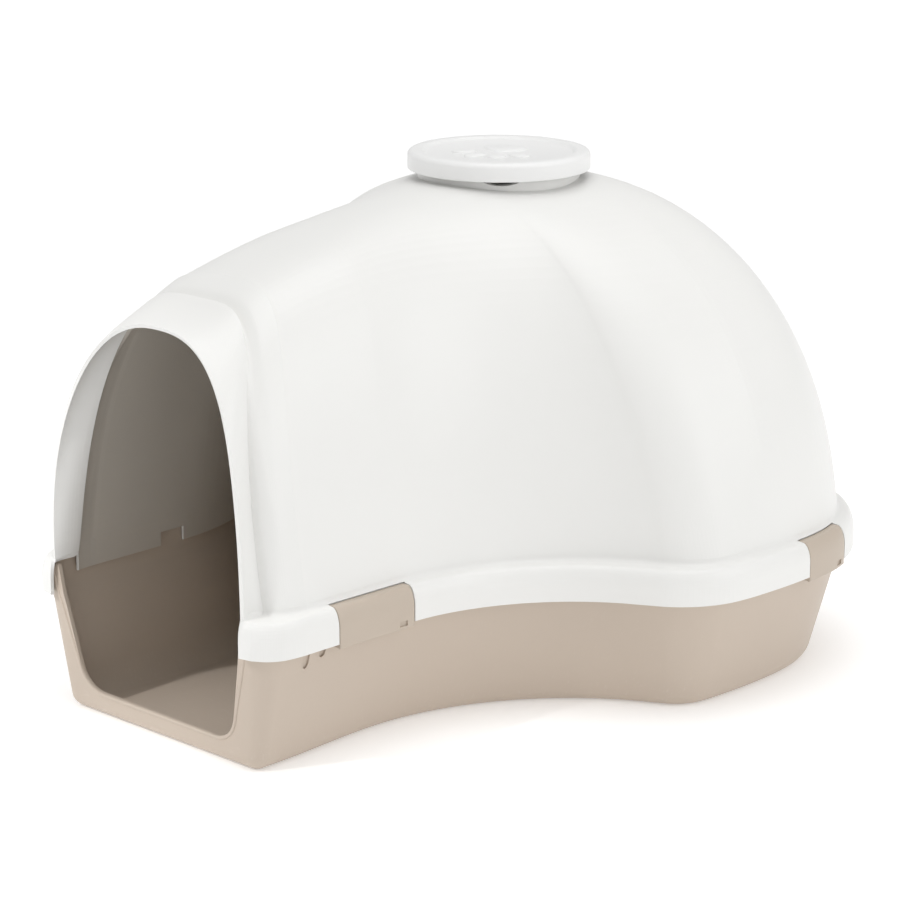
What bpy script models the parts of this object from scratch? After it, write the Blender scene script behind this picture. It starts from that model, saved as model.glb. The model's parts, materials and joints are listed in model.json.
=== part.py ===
# Hooded cat litter box: a tub, a lift-off igloo hood with an entry arch, four swing
# latches that hold the hood down, and a lift-off vent cap over an odour filter pad.
# Metres, +Z up, front towards -Y, X = 0 is the plane of symmetry, the tub stands on Z = 0.
from math import cos, pi, radians, sin, sqrt

import bmesh
import bpy
from mathutils import Matrix, Vector

# Plan of the rim, seen from above: a straight entry tunnel that flares into a wide body.
TUNNEL_HALF_WIDTH = 0.129
BODY_HALF_WIDTH = 0.268
FRONT_CORNER_RADIUS = 0.028
TUNNEL_LENGTH = 0.106
BODY_SIDE_LENGTH = 0.098
REAR_CORNER_RADIUS = 0.150
TUNNEL_SPLAY = radians(1)          # the tunnel sides open this much towards the rear
FLARE_HEADING = radians(25)        # smallest angle between the flare and the X axis
FLARE_SHARE = 0.705                # part of the flare that is the hollow curve
SIDE_BOW = radians(6)              # the body sides bow out by this much each way
REAR_TURN = radians(165)           # where the rear corner meets the shallow rear curve

# Heights above the floor.
RIM_BOTTOM = 0.088
RIM_TOP = 0.114
HOOD_TOP = 0.3655
RIDGE_FALL = 0.041                 # how far the ridge drops from its top to the hood's front
RIDGE_POWER = 2.0
ENTRY_TOP = HOOD_TOP - 0.0655      # top of the visor's front edge
CREASE_TOP = HOOD_TOP - 0.0505     # top of the line where the visor meets the hood

# Hood.
WALL = 0.0025
RIM_LEDGE = 0.013                  # rim beyond the wall, along the tunnel
RIM_ROUNDING = 0.007               # the rim's outer edge is rounded over this far
FLARE_LEDGE = 0.007                # extra ledge where the body flares
HOOD_CORNER_WIDTH = 0.015          # rounded corner between the crease and the side wall
HOOD_CORNER_DEPTH = 0.022
VISOR_DEPTH = 0.0235               # the crease lies this far behind the front, at its foot
VISOR_FOOT_HALF_WIDTH = 0.1020
VISOR_FOOT_SET_BACK = 0.0045       # the visor's front edge behind the front of the rim
VISOR_LEAN = 0.016
HOOD_LEAN = 0.036                  # the hood's front leans back this far
DOME_SET_BACK = 0.050              # middle of the dome behind the start of the body's sides
SKIRT_DEPTH = 0.018                # the hood's inner skirt reaches this far below the rim top
SKIRT_SETBACK = 0.0001             # the skirt's faces lie this far within the wall's

# Tub.
TUB_WALL = 0.0028
TUB_INSET = 0.0085                 # tub wall inside the rim line
TUB_FOOT_INSET = 0.033             # tub bottom inside the rim line
TUB_FRONT_INSET = 0.006            # tub front behind the rim's front, at its top
TUB_FRONT_LEAN = 0.008             # and this much more at its foot
TUB_CORNER_LOSS = 0.010            # the front corner's radius shrinks by this towards the foot
TUB_FLOOR = 0.0030
TUB_CHAMFER = 0.020                # sloped band between the tub wall and its floor
CHAMFER_SPREAD = 0.011             # width of that band, seen from above
FOOT_ROUNDING = 0.009              # rounded edge under the tub
TUB_NECK = 0.004                   # the upright band at the tub's top starts this far below the rim
TUB_NECK_HEIGHT = 0.006
NECK_SHARE = 0.10                  # part of the wall's lean that the neck takes up
LIP_HEIGHT = 0.019
LIP_HALF_WIDTH = 0.070
MOUTH_HALF_WIDTH = 0.098
MOUTH_CORNER_RADIUS = 0.022
MOUTH_CORNER_PULL = 0.4            # the corner's centre sits this share of the radius inwards

# Latches.
LATCH_LENGTH = 0.073
REAR_LATCH_LENGTH = 0.056
FRONT_LATCH_FROM_FRONT = 0.1045    # middle of the front latch behind the front of the rim
REAR_LATCH_SET_BACK = 0.105        # middle of the rear latch behind the start of the sides
LATCH_WALL = 0.0026
LATCH_END_GAP = 0.0008             # between a latch and the ends of its notch
LATCH_OVERHANG = 0.004             # the latch reaches this far below the rim
LATCH_LIP_GAP = 0.0008             # between the latch's lip and the hood wall
CHEEK_THICKNESS = 0.002
CHEEK_RADIUS = 0.0022
CHEEK_HEIGHT = 0.008               # above the rim's lower edge
CHEEK_SHOULDER = 0.003
CHEEK_SETBACK = 0.0003             # the cheeks stop this far inside the latch's ends
PIN_RADIUS = 0.0012
PIN_CLEARANCE = 0.0003
PIN_DROP = 0.0012                  # pin axis below the rim's lower edge
PIN_REACH = 0.0028                 # pin axis outside the tub wall
EAR_THICKNESS = 0.003
EAR_RADIUS = 0.0027
EAR_STEPS = 8

# Details of the tub and the skirt.
SLOT_WIDTH = 0.0045
SLOT_HEIGHT = 0.016
SLOT_BOTTOM = RIM_BOTTOM - 0.0115
SLOT_DEPTH = 0.0016
SLOT_FOOT_SHARE = 0.18             # of the wall's lean, at the foot of a slot
SLOT_FROM_FRONT = (0.040, 0.060)
SKIRT_NOTCH_LENGTH = 0.023
SKIRT_NOTCH_HEIGHT = 0.011
SKIRT_NOTCH_FROM_FRONT = 0.129

# Vent.
VENT_SET_BACK = 0.027              # middle of the vent behind the start of the body's sides
CAP_RADIUS = 0.070
CAP_BOTTOM = HOOD_TOP + 0.003
CAP_HEIGHT = 0.0140
CAP_WALL = 0.0026
CAP_EDGE = 0.0045                  # rounding of the cap's upper edge
COLLAR_RADIUS = CAP_RADIUS - 0.008
COLLAR_WALL = 0.0025
COLLAR_FOOT = HOOD_TOP - 0.0205    # the collar starts inside the hood's wall
SPIGOT_DEPTH = 0.0075              # the cap's inner ring reaches this far into the collar
SPIGOT_WALL = 0.0018
DIP_HALF_WIDTH = 0.020
DIP_HEIGHT = 0.009
DIP_DEPTH = 0.008
DIP_RISE = 0.0015                  # middle of a dip above the cap's lower edge
DIP_COUNT = 4
PAD_THICKNESS = 0.0045
VENT_SLOT_WIDTH = 0.006
VENT_SLOT_PITCH = 0.0125
VENT_FIELD_RADIUS = COLLAR_RADIUS - 0.014

FRONT_FOOT_GAIN = 0.006            # the tub's foot is this much wider at the front corners
LEAST_CORNER = 0.0015              # smallest corner radius kept inside the tub
PAST = 0.010                       # how far cutters run past what they cut
GAP = 0.0003                       # between faces that touch
CLEAR = 0.0010                     # between parts that slide past each other

WHITE_PLASTIC = (0.86, 0.86, 0.84, 1.0)
TAUPE_PLASTIC = (0.56, 0.48, 0.40, 1.0)
CARBON_FELT = (0.03, 0.03, 0.03, 1.0)
PLASTIC_ROUGHNESS = 0.42
FELT_ROUGHNESS = 0.95


def material(name, colour, roughness):
    new = bpy.data.materials.new(name)
    new.use_nodes = True
    shader = new.node_tree.nodes["Principled BSDF"]
    shader.inputs["Base Color"].default_value = colour
    shader.inputs["Roughness"].default_value = roughness
    shader.inputs["Metallic"].default_value = 0.0
    return new


def mesh_object(name, mesh, finish):
    if finish is not None:
        mesh.materials.append(finish)
    made = bpy.data.objects.new(name, mesh)
    bpy.context.collection.objects.link(made)
    return made


def from_bmesh(name, form, finish=None):
    bmesh.ops.recalc_face_normals(form, faces=form.faces)
    mesh = bpy.data.meshes.new(name)
    form.to_mesh(mesh)
    form.free()
    return mesh_object(name, mesh, finish)


def as_cutter(made):
    made.hide_render = True
    made.display_type = "WIRE"
    return made


def boolean(target, other, operation):
    step = target.modifiers.new(other.name, "BOOLEAN")
    step.operation = operation
    step.solver = "EXACT"
    step.object = as_cutter(other)


# ---- plan of the rim -------------------------------------------------------------------

def heading_vector(heading):
    return Vector((cos(heading), sin(heading)))


def left_of(heading):
    return Vector((-sin(heading), cos(heading)))


CORNER_STATIONS = 4                # stations on the front corner, after the first
TUNNEL_STATIONS = 4
HOLLOW_STATIONS = 8                # stations on the hollow and the rounded part of the flare
ROUND_STATIONS = 6
SIDE_STATIONS = 4
REAR_CORNER_STATIONS = 7
REAR_STATIONS = 4
TUNNEL_LAST = CORNER_STATIONS + TUNNEL_STATIONS
FLARE_LAST = TUNNEL_LAST + HOLLOW_STATIONS + ROUND_STATIONS


class Rim:
    """The right half of the rim line as points with headings, from the front to the rear."""

    def __init__(self):
        self.points = []
        self.headings = []
        self.pen = Vector((TUNNEL_HALF_WIDTH - FRONT_CORNER_RADIUS, 0.0))
        self.heading = 0.0

    def keep(self):
        self.points.append(self.pen.copy())
        self.headings.append(self.heading)

    def arc(self, radius, end, count):
        side = 1.0 if end > self.heading else -1.0
        centre = self.pen + left_of(self.heading) * radius * side
        start = self.heading
        for step in range(1, count + 1):
            self.heading = start + (end - start) * step / count
            self.pen = centre - left_of(self.heading) * radius * side
            self.keep()

    def line(self, length, count):
        start = self.pen.copy()
        for step in range(1, count + 1):
            self.pen = start + heading_vector(self.heading) * length * step / count
            self.keep()


def rim_line():
    rim = Rim()
    rim.keep()
    tunnel = radians(90) - TUNNEL_SPLAY
    rim.arc(FRONT_CORNER_RADIUS, tunnel, CORNER_STATIONS)
    rim.line(TUNNEL_LENGTH, TUNNEL_STATIONS)
    side_start = radians(90) - SIDE_BOW
    spread = BODY_HALF_WIDTH - rim.pen.x
    hollow = sin(tunnel) - sin(FLARE_HEADING)
    round_out = 1.0 - sin(FLARE_HEADING)
    scale = spread / (FLARE_SHARE * hollow + (1.0 - FLARE_SHARE) * round_out)
    rim.arc(scale * FLARE_SHARE, FLARE_HEADING, HOLLOW_STATIONS)
    rim.arc(scale * (1.0 - FLARE_SHARE), side_start, ROUND_STATIONS)
    rim.arc(BODY_SIDE_LENGTH / (2.0 * SIDE_BOW), pi - side_start, SIDE_STATIONS)
    rim.arc(REAR_CORNER_RADIUS, REAR_TURN, REAR_CORNER_STATIONS)
    rim.arc(rim.pen.x / sin(rim.heading), pi, REAR_STATIONS)
    shift = (rim.points[0].y + rim.points[-1].y) / 2.0
    for point in rim.points:
        point.y -= shift
    return rim


RIM = rim_line()
FRONT = RIM.points[0].y


def smooth_step(value, low, high):
    share = min(max((value - low) / (high - low), 0.0), 1.0)
    return share * share * (3.0 - 2.0 * share)


WIDEST = RIM.points[FLARE_LAST]
CENTRE_Y = WIDEST.y + DOME_SET_BACK
VENT_CENTRE = Vector((0.0, WIDEST.y + VENT_SET_BACK))
TUNNEL_END = RIM.points[TUNNEL_LAST].y
TUB_TOP = RIM_TOP - WALL - 4.0 * GAP


def ledge_width(index):
    """How far the rim stands out beyond the hood wall."""
    heading = RIM.headings[index]
    if index <= TUNNEL_LAST or RIM.points[index].y > CENTRE_Y:
        return RIM_LEDGE
    return RIM_LEDGE + FLARE_LEDGE * cos(heading) ** 2


def wall_foot(index):
    """Foot of the hood wall at a station of the rim."""
    if index == 0:
        return Vector((VISOR_FOOT_HALF_WIDTH, FRONT + VISOR_FOOT_SET_BACK))
    if index <= CORNER_STATIONS:
        turn = radians(90) * (index - 1) / (CORNER_STATIONS - 1)
        return Vector((
            RIM.points[CORNER_STATIONS].x - RIM_LEDGE - HOOD_CORNER_WIDTH * (1.0 - sin(turn)),
            FRONT + VISOR_DEPTH + HOOD_CORNER_DEPTH * (1.0 - cos(turn))))
    return RIM.points[index] + left_of(RIM.headings[index]) * ledge_width(index)


HOOD_FRONT_Y = wall_foot(CORNER_STATIONS).y + HOOD_LEAN


def ridge(y):
    away = max(CENTRE_Y - y, 0.0) / (CENTRE_Y - HOOD_FRONT_Y)
    return HOOD_TOP - RIDGE_FALL * away ** RIDGE_POWER


SHOULDER_FALL = {2: 0.007, 3: 0.0025}     # rounding of the ridge behind the visor's crease


def spine_point(index):
    """Top of the hood section that starts at a station of the rim."""
    foot = wall_foot(index)
    if index == 0:
        return Vector((0.0, foot.y + VISOR_LEAN, ENTRY_TOP))
    if index == 1:
        return Vector((0.0, foot.y + HOOD_LEAN, CREASE_TOP))
    share = 1.0 - smooth_step(foot.y, wall_foot(CORNER_STATIONS).y, CENTRE_Y)
    y = min(foot.y + HOOD_LEAN * share, CENTRE_Y)
    return Vector((0.0, y, ridge(y) - SHOULDER_FALL.get(index, 0.0)))


def section_shape(index):
    """Squareness of the hood section, 2 being an ellipse, and its inward taper."""
    if index == 0:
        return 2.4, 0.0
    if index == 1:
        return 4.3, 0.31
    y = RIM.points[index].y
    tunnel = 1.0 - smooth_step(y, FRONT + 0.05, TUNNEL_END + 0.15)
    along = min(max((y - TUNNEL_END) / (CENTRE_Y - TUNNEL_END), 0.0), 1.0)
    flare = 4.0 * along * (1.0 - along)
    return 2.4 + 1.1 * tunnel, 0.105 + 0.185 * tunnel + 0.11 * flare


SECTION_STEPS = 10
RIM_STEPS = 5
UPRIGHT_SHARE = 0.42               # of the rim's height, below its rounding
ROUNDED_SHARE = 0.99               # of the rim's height, at the end of its rounding


def rim_profile(edge, foot):
    """Outer face of the rim from its lower edge, over its rounded top, to the wall."""
    height = RIM_TOP - RIM_BOTTOM
    rounding = RIM_ROUNDING / (foot - edge).length
    points = []
    for step in range(RIM_STEPS):
        turn = radians(90) * step / (RIM_STEPS - 1)
        place = edge.lerp(foot, rounding * (1.0 - cos(turn)))
        rise = UPRIGHT_SHARE + (ROUNDED_SHARE - UPRIGHT_SHARE) * sin(turn)
        points.append((place, RIM_BOTTOM + height * rise, turn))
    return points


def hood_section(index, side):
    """Outer surface from the rim's lower edge up to the ridge, at one station."""
    edge = RIM.points[index]
    foot = wall_foot(index)
    top = spine_point(index)
    points = [Vector((edge.x, edge.y, RIM_BOTTOM))]
    for place, z, _ in rim_profile(edge, foot):
        points.append(Vector((place.x, place.y, z)))
    power, taper = section_shape(index)
    for step in range(SECTION_STEPS + 1):
        turn = radians(90) * step / SECTION_STEPS
        reach = (cos(turn) ** power + sin(turn) ** power) ** (-1.0 / power)
        up = reach * sin(turn)
        across = reach * cos(turn) * (1.0 - taper * up)
        dome = smooth_step(RIM.points[index].y, TUNNEL_END, CENTRE_Y)
        back = up ** 3 * (1.0 - dome) + (1.0 - across) * dome
        points.append(Vector((
            foot.x * across,
            foot.y + (top.y - foot.y) * back,
            RIM_TOP + (top.z - RIM_TOP) * up)))
    return [Vector((point.x * side, point.y, point.z)) for point in points]


def skin(rows):
    """Faces between neighbouring rows of points, with doubled points joined."""
    form = bmesh.new()
    grid = [[form.verts.new(point) for point in row] for row in rows]
    for row, following in zip(grid, grid[1:]):
        for corner in range(len(row) - 1):
            form.faces.new((row[corner], row[corner + 1], following[corner + 1], following[corner]))
    bmesh.ops.remove_doubles(form, verts=form.verts, dist=0.00002)
    return form


def hood_shell(finish):
    stations = range(len(RIM.points))
    right = [hood_section(index, 1.0) for index in stations]
    left = [hood_section(index, -1.0) for index in reversed(stations)]
    form = skin(right + left[1:])
    bmesh.ops.recalc_face_normals(form, faces=form.faces)
    top_face = max(form.faces, key=lambda face: face.calc_center_median().z)
    if top_face.normal.z < 0.0:
        bmesh.ops.reverse_faces(form, faces=form.faces)
    mesh = bpy.data.meshes.new("hood")
    form.to_mesh(mesh)
    form.free()
    shell = mesh_object("hood", mesh, finish)
    wall = shell.modifiers.new("wall", "SOLIDIFY")
    wall.thickness = WALL
    wall.offset = -1.0
    wall.use_even_offset = True
    wall.use_quality_normals = True
    return shell


# ---- solid helpers ---------------------------------------------------------------------

def lofted(name, loops, finish=None):
    """Closed solid through loops of equal length, each a list of 3-D points."""
    form = bmesh.new()
    rings = [[form.verts.new(point) for point in loop] for loop in loops]
    for ring, following in zip(rings, rings[1:]):
        count = len(ring)
        for corner in range(count):
            after = (corner + 1) % count
            form.faces.new((ring[corner], ring[after], following[after], following[corner]))
    form.faces.new(rings[0])
    form.faces.new(rings[-1])
    return from_bmesh(name, form, finish)


def level(loop, z):
    return [Vector((point.x, point.y, z)) for point in loop]


def blocked(name, low, high, finish=None):
    form = bmesh.new()
    bmesh.ops.create_cube(form, size=1.0)
    for vert in form.verts:
        for axis in range(3):
            vert.co[axis] = low[axis] if vert.co[axis] < 0.0 else high[axis]
    return from_bmesh(name, form, finish)


def turned(name, profile, centre, finish=None, segments=48):
    """Solid of revolution from a closed (radius, z) profile around a vertical axis."""
    form = bmesh.new()
    rings = []
    for step in range(segments):
        turn = 2.0 * pi * step / segments
        rings.append([
            form.verts.new((centre.x + radius * cos(turn), centre.y + radius * sin(turn), z))
            for radius, z in profile])
    count = len(profile)
    for step in range(segments):
        ring = rings[step]
        following = rings[(step + 1) % segments]
        for corner in range(count):
            after = (corner + 1) % count
            form.faces.new((ring[corner], ring[after], following[after], following[corner]))
    bmesh.ops.remove_doubles(form, verts=form.verts, dist=0.00001)
    return from_bmesh(name, form, finish)


# ---- tub -------------------------------------------------------------------------------

def tub_inset(index, share):
    """Inset of the tub wall from the rim line: share 0 at its top, 1 at its foot."""
    front_foot = TUB_FOOT_INSET - FRONT_FOOT_GAIN
    along = smooth_step(index, CORNER_STATIONS, TUNNEL_LAST)
    foot = front_foot + (TUB_FOOT_INSET - front_foot) * along
    return TUB_INSET + (foot - TUB_INSET) * share


def tub_loop(share, thickness):
    """Plan loop of the tub, closed by a straight front wall."""
    side = RIM.points[CORNER_STATIONS].x - tub_inset(CORNER_STATIONS, share) - thickness
    front = FRONT + TUB_FRONT_INSET + TUB_FRONT_LEAN * share + thickness
    radius = FRONT_CORNER_RADIUS - TUB_INSET - TUB_CORNER_LOSS * share - thickness
    radius = max(radius, LEAST_CORNER)
    right = []
    for step in range(CORNER_STATIONS + 1):
        turn = radians(90) * step / CORNER_STATIONS
        x = side - radius + radius * sin(turn)
        right.append(Vector((x, front + radius - radius * cos(turn))))
    for index in range(CORNER_STATIONS + 1, len(RIM.points)):
        inset = tub_inset(index, share) + thickness
        right.append(RIM.points[index] + left_of(RIM.headings[index]) * inset)
    left = [Vector((-point.x, point.y)) for point in reversed(right[:-1])]
    return right + left


def tub(finish):
    straight = RIM_BOTTOM - TUB_NECK
    outer = []
    for step in range(4):
        turn = radians(90) * step / 3
        inset = FOOT_ROUNDING * (1.0 - sin(turn))
        z = FOOT_ROUNDING * (1.0 - cos(turn))
        share = 1.0 - (1.0 - NECK_SHARE) * z / straight
        outer.append(level(tub_loop(share, inset), z))
    outer += [
        level(tub_loop(NECK_SHARE, 0.0), straight),
        level(tub_loop(0.0, 0.0), straight + TUB_NECK_HEIGHT),
        level(tub_loop(0.0, 0.0), TUB_TOP)]
    body = lofted("tub", outer, finish)
    rise = TUB_FLOOR + TUB_CHAMFER
    slope = 1.0 - (1.0 - NECK_SHARE) * rise / straight
    inner = [
        level(tub_loop(1.0, TUB_WALL + CHAMFER_SPREAD), TUB_FLOOR),
        level(tub_loop(slope, TUB_WALL), rise),
        level(tub_loop(NECK_SHARE, TUB_WALL), straight),
        level(tub_loop(0.0, TUB_WALL), straight + TUB_NECK_HEIGHT),
        level(tub_loop(0.0, TUB_WALL), TUB_TOP + PAST)]
    boolean(body, lofted("tub_hollow", inner), "DIFFERENCE")
    boolean(body, tub_mouth(), "DIFFERENCE")
    return body


def tub_mouth():
    """Cutter for the way in through the front wall: flared sides and rounded corners."""
    outline = []
    radius = MOUTH_CORNER_RADIUS
    lean = (MOUTH_HALF_WIDTH - LIP_HALF_WIDTH) / (TUB_TOP - LIP_HEIGHT)
    steps = 5
    for step in range(steps + 1):
        turn = radians(-90) + (radians(90) - lean) * step / steps
        outline.append(Vector((
            LIP_HALF_WIDTH - radius * MOUTH_CORNER_PULL + radius * cos(turn),
            LIP_HEIGHT + radius + radius * sin(turn))))
    outline.append(Vector((MOUTH_HALF_WIDTH + PAST * lean, TUB_TOP + PAST)))
    outline += [Vector((-point.x, point.y)) for point in reversed(outline)]
    back = FRONT + 3.0 * PAST
    front = FRONT - PAST
    loops = [[Vector((point.x, y, point.y)) for point in outline] for y in (front, back)]
    return lofted("tub_mouth", loops)


# ---- latches ---------------------------------------------------------------------------

class LatchPlace:
    """A latch's frame on the right side: middle, direction along the rim, outward normal."""

    def __init__(self, name, y, first, length):
        self.name = name
        self.length = length
        for index in range(first, len(RIM.points) - 1):
            before = RIM.points[index]
            after = RIM.points[index + 1]
            if before.y <= y < after.y:
                share = (y - before.y) / (after.y - before.y)
                self.middle = before.lerp(after, share)
                heading = RIM.headings[index] * (1.0 - share) + RIM.headings[index + 1] * share
                break
        self.along = heading_vector(heading)
        self.outward = -left_of(heading)
        span = range(max(first - 2, CORNER_STATIONS), len(RIM.points))
        self.rim = [RIM.points[index] for index in span]
        self.feet = [wall_foot(index) for index in span]
        cheek = length / 2.0 - LATCH_END_GAP - CHEEK_THICKNESS
        self.ear_at = cheek - CLEAR / 2.0 - EAR_THICKNESS / 2.0
        tub_face = min(self.reach(self.rim, at) for at in (self.ear_at, -self.ear_at)) - TUB_INSET
        self.pin = tub_face + PIN_REACH
        self.pin_z = RIM_BOTTOM - PIN_DROP

    def reach(self, line, at):
        """Outward distance of a plan line from the middle, at a distance along the latch."""
        for before, after in zip(line, line[1:]):
            low = (before - self.middle).dot(self.along)
            high = (after - self.middle).dot(self.along)
            if low <= at <= high:
                point = before.lerp(after, (at - low) / (high - low))
                return (point - self.middle).dot(self.outward)
        raise ValueError(self.name)

    def place(self, at, out, z):
        point = self.middle + self.along * at + self.outward * out
        return Vector((point.x, point.y, z))


def latch_places():
    front = LatchPlace("front", FRONT + FRONT_LATCH_FROM_FRONT, CORNER_STATIONS, LATCH_LENGTH)
    rear = LatchPlace("rear", WIDEST.y + REAR_LATCH_SET_BACK, FLARE_LAST, REAR_LATCH_LENGTH)
    return front, rear


def latch_section(place, at):
    """Closed (out, z) outline of a latch's skin: up the outside, then down the inside."""
    edge = Vector((place.reach(place.rim, at), 0.0))
    foot = Vector((place.reach(place.feet, at), 0.0))
    outer = [(edge.x, RIM_BOTTOM - LATCH_OVERHANG)]
    inner = [(edge.x - LATCH_WALL, RIM_BOTTOM - LATCH_OVERHANG)]
    for point, z, turn in rim_profile(edge, foot):
        outer.append((point.x, z))
        inner.append((point.x - LATCH_WALL * cos(turn), z - LATCH_WALL * sin(turn)))
    lip = foot.x + LATCH_LIP_GAP
    outer.append((lip, RIM_TOP - GAP))
    inner.append((lip, RIM_TOP - GAP - LATCH_WALL))
    return outer + inner[::-1]


def mirrored(loops, side):
    return [[Vector((point.x * side, point.y, point.z)) for point in loop] for loop in loops]


def disc(place, at, radius, count=12):
    """Circle around the pin axis, at a distance along the latch."""
    loop = []
    for step in range(count):
        turn = 2.0 * pi * step / count
        loop.append(place.place(at, place.pin + radius * cos(turn), place.pin_z + radius * sin(turn)))
    return loop


def cheek_outline(place, at):
    """End plate of a latch, from its skin to its pin."""
    edge = place.reach(place.rim, at) - LATCH_WALL / 2.0
    low = place.pin_z - CHEEK_RADIUS
    high = RIM_BOTTOM + CHEEK_HEIGHT
    corners = (
        (edge, low), (edge, high), (edge - CHEEK_SHOULDER, high),
        (place.pin - CHEEK_RADIUS, place.pin_z + CHEEK_RADIUS * 0.7),
        (place.pin - CHEEK_RADIUS, place.pin_z - CHEEK_RADIUS * 0.4),
        (place.pin - CHEEK_RADIUS * 0.4, low))
    return [place.place(at, out, z) for out, z in corners]


def latch(place, side, finish):
    side_name = "right" if side > 0.0 else "left"
    name = "latch_" + place.name + "_" + side_name
    half = place.length / 2.0 - LATCH_END_GAP
    steps = 6
    loops = []
    for step in range(steps + 1):
        at = -half + 2.0 * half * step / steps
        loops.append([place.place(at, out, z) for out, z in latch_section(place, at)])
    body = lofted(name, mirrored(loops, side), finish)
    for end, sign in (("near", -1.0), ("far", 1.0)):
        outer = sign * (half - CHEEK_SETBACK)
        inner = sign * (half - CHEEK_THICKNESS)
        plate = [cheek_outline(place, at) for at in (outer, inner)]
        boolean(body, lofted(name + "_cheek_" + end, mirrored(plate, side)), "UNION")
        tip = sign * (place.ear_at - EAR_THICKNESS / 2.0 - CLEAR / 2.0)
        pin = [disc(place, at, PIN_RADIUS) for at in (sign * (half - CHEEK_THICKNESS / 2.0), tip)]
        boolean(body, lofted(name + "_pin_" + end, mirrored(pin, side)), "UNION")
    return body


def hinge_axis(place, side):
    point = place.place(0.0, place.pin, place.pin_z)
    return Vector((point.x * side, point.y, point.z))


def set_origin(made, origin):
    made.data.transform(Matrix.Translation(-origin))
    made.location = origin


def add_ears(body, place, side):
    """Two lugs on the tub that hold a latch's pins."""
    for end, sign in (("near", -1.0), ("far", 1.0)):
        name = "ear_" + place.name + "_" + end + ("_right" if side > 0.0 else "_left")
        loops = []
        for at in (place.ear_at - EAR_THICKNESS / 2.0, place.ear_at + EAR_THICKNESS / 2.0):
            rim = place.reach(place.rim, sign * at)
            wall = rim - TUB_INSET - TUB_WALL / 2.0
            low_wall = wall - (TUB_FOOT_INSET - TUB_INSET) * NECK_SHARE
            loop = [place.place(sign * at, wall, place.pin_z + EAR_RADIUS)]
            for step in range(EAR_STEPS + 1):
                turn = radians(90) - radians(180) * step / EAR_STEPS
                loop.append(place.place(
                    sign * at,
                    place.pin + EAR_RADIUS * cos(turn),
                    place.pin_z + EAR_RADIUS * sin(turn)))
            loop.append(place.place(sign * at, low_wall, place.pin_z - EAR_RADIUS))
            loops.append(loop)
        boolean(body, lofted(name, mirrored(loops, side)), "UNION")
        ends = [sign * (place.ear_at - EAR_THICKNESS), sign * (place.ear_at + EAR_THICKNESS)]
        hole = [disc(place, at, PIN_RADIUS + PIN_CLEARANCE) for at in ends]
        boolean(body, lofted(name + "_hole", mirrored(hole, side)), "DIFFERENCE")


def notch(place, side):
    """Cutter that clears the rim, and nothing of the wall, where a latch sits."""
    half = place.length / 2.0
    steps = 6
    loops = []
    for step in range(steps + 1):
        at = -half + 2.0 * half * step / steps
        foot = place.reach(place.feet, at) + GAP
        outside = place.reach(place.rim, at) + PAST
        low = RIM_BOTTOM - PAST
        high = RIM_TOP + PAST
        corners = ((foot, low), (outside, low), (outside, high), (foot, high))
        loops.append([place.place(at, out, z) for out, z in corners])
    name = "notch_" + place.name + ("_right" if side > 0.0 else "_left")
    return lofted(name, mirrored(loops, side))


# ---- hood details ----------------------------------------------------------------------

def skirt():
    """Band under the wall that hangs inside the tub; open at the front."""
    first = CORNER_STATIONS + 1
    right = []
    for index in range(first, len(RIM.points)):
        inward = left_of(RIM.headings[index])
        outer = RIM.points[index] + inward * (ledge_width(index) + SKIRT_SETBACK)
        inner = RIM.points[index] + inward * (ledge_width(index) + WALL - SKIRT_SETBACK)
        right.append((outer, inner))
    rows = right + [
        tuple(Vector((-point.x, point.y)) for point in pair) for pair in reversed(right[:-1])]
    low = RIM_TOP - SKIRT_DEPTH
    high = RIM_TOP - WALL / 2.0
    loops = []
    for outer, inner in rows:
        corners = ((outer, low), (outer, high), (inner, high), (inner, low))
        loops.append([Vector((point.x, point.y, z)) for point, z in corners])
    return lofted("skirt", loops)


def skirt_notch(side):
    y = FRONT + SKIRT_NOTCH_FROM_FRONT
    middle = TUNNEL_HALF_WIDTH - RIM_LEDGE - WALL / 2.0
    low_x, high_x = sorted((side * (middle - RIM_LEDGE / 2.0), side * (middle + RIM_LEDGE / 2.0)))
    low_z = RIM_TOP - SKIRT_DEPTH - CLEAR
    half = SKIRT_NOTCH_LENGTH / 2.0
    high_z = RIM_TOP - SKIRT_DEPTH + SKIRT_NOTCH_HEIGHT
    name = "skirt_notch_" + ("right" if side > 0.0 else "left")
    return blocked(name, (low_x, y - half, low_z), (high_x, y + half, high_z))


def collar():
    top = CAP_BOTTOM + CAP_HEIGHT - CAP_WALL - GAP
    inner = COLLAR_RADIUS - COLLAR_WALL
    profile = ((COLLAR_RADIUS, COLLAR_FOOT), (COLLAR_RADIUS, top), (inner, top), (inner, COLLAR_FOOT))
    return turned("collar", profile, VENT_CENTRE)


def collar_dip(turn, number):
    """Cutter for one finger dip in the collar's upper part."""
    form = bmesh.new()
    bmesh.ops.create_uvsphere(form, u_segments=16, v_segments=10, radius=1.0)
    size = Matrix.Diagonal((DIP_DEPTH, DIP_HALF_WIDTH, DIP_HEIGHT, 1.0))
    centre = VENT_CENTRE + Vector((cos(turn), sin(turn))) * COLLAR_RADIUS
    place = Matrix.Translation((centre.x, centre.y, CAP_BOTTOM + DIP_RISE))
    bmesh.ops.transform(form, matrix=place @ Matrix.Rotation(turn, 4, "Z") @ size, verts=form.verts)
    return from_bmesh("collar_dip_" + str(number), form)


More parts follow.
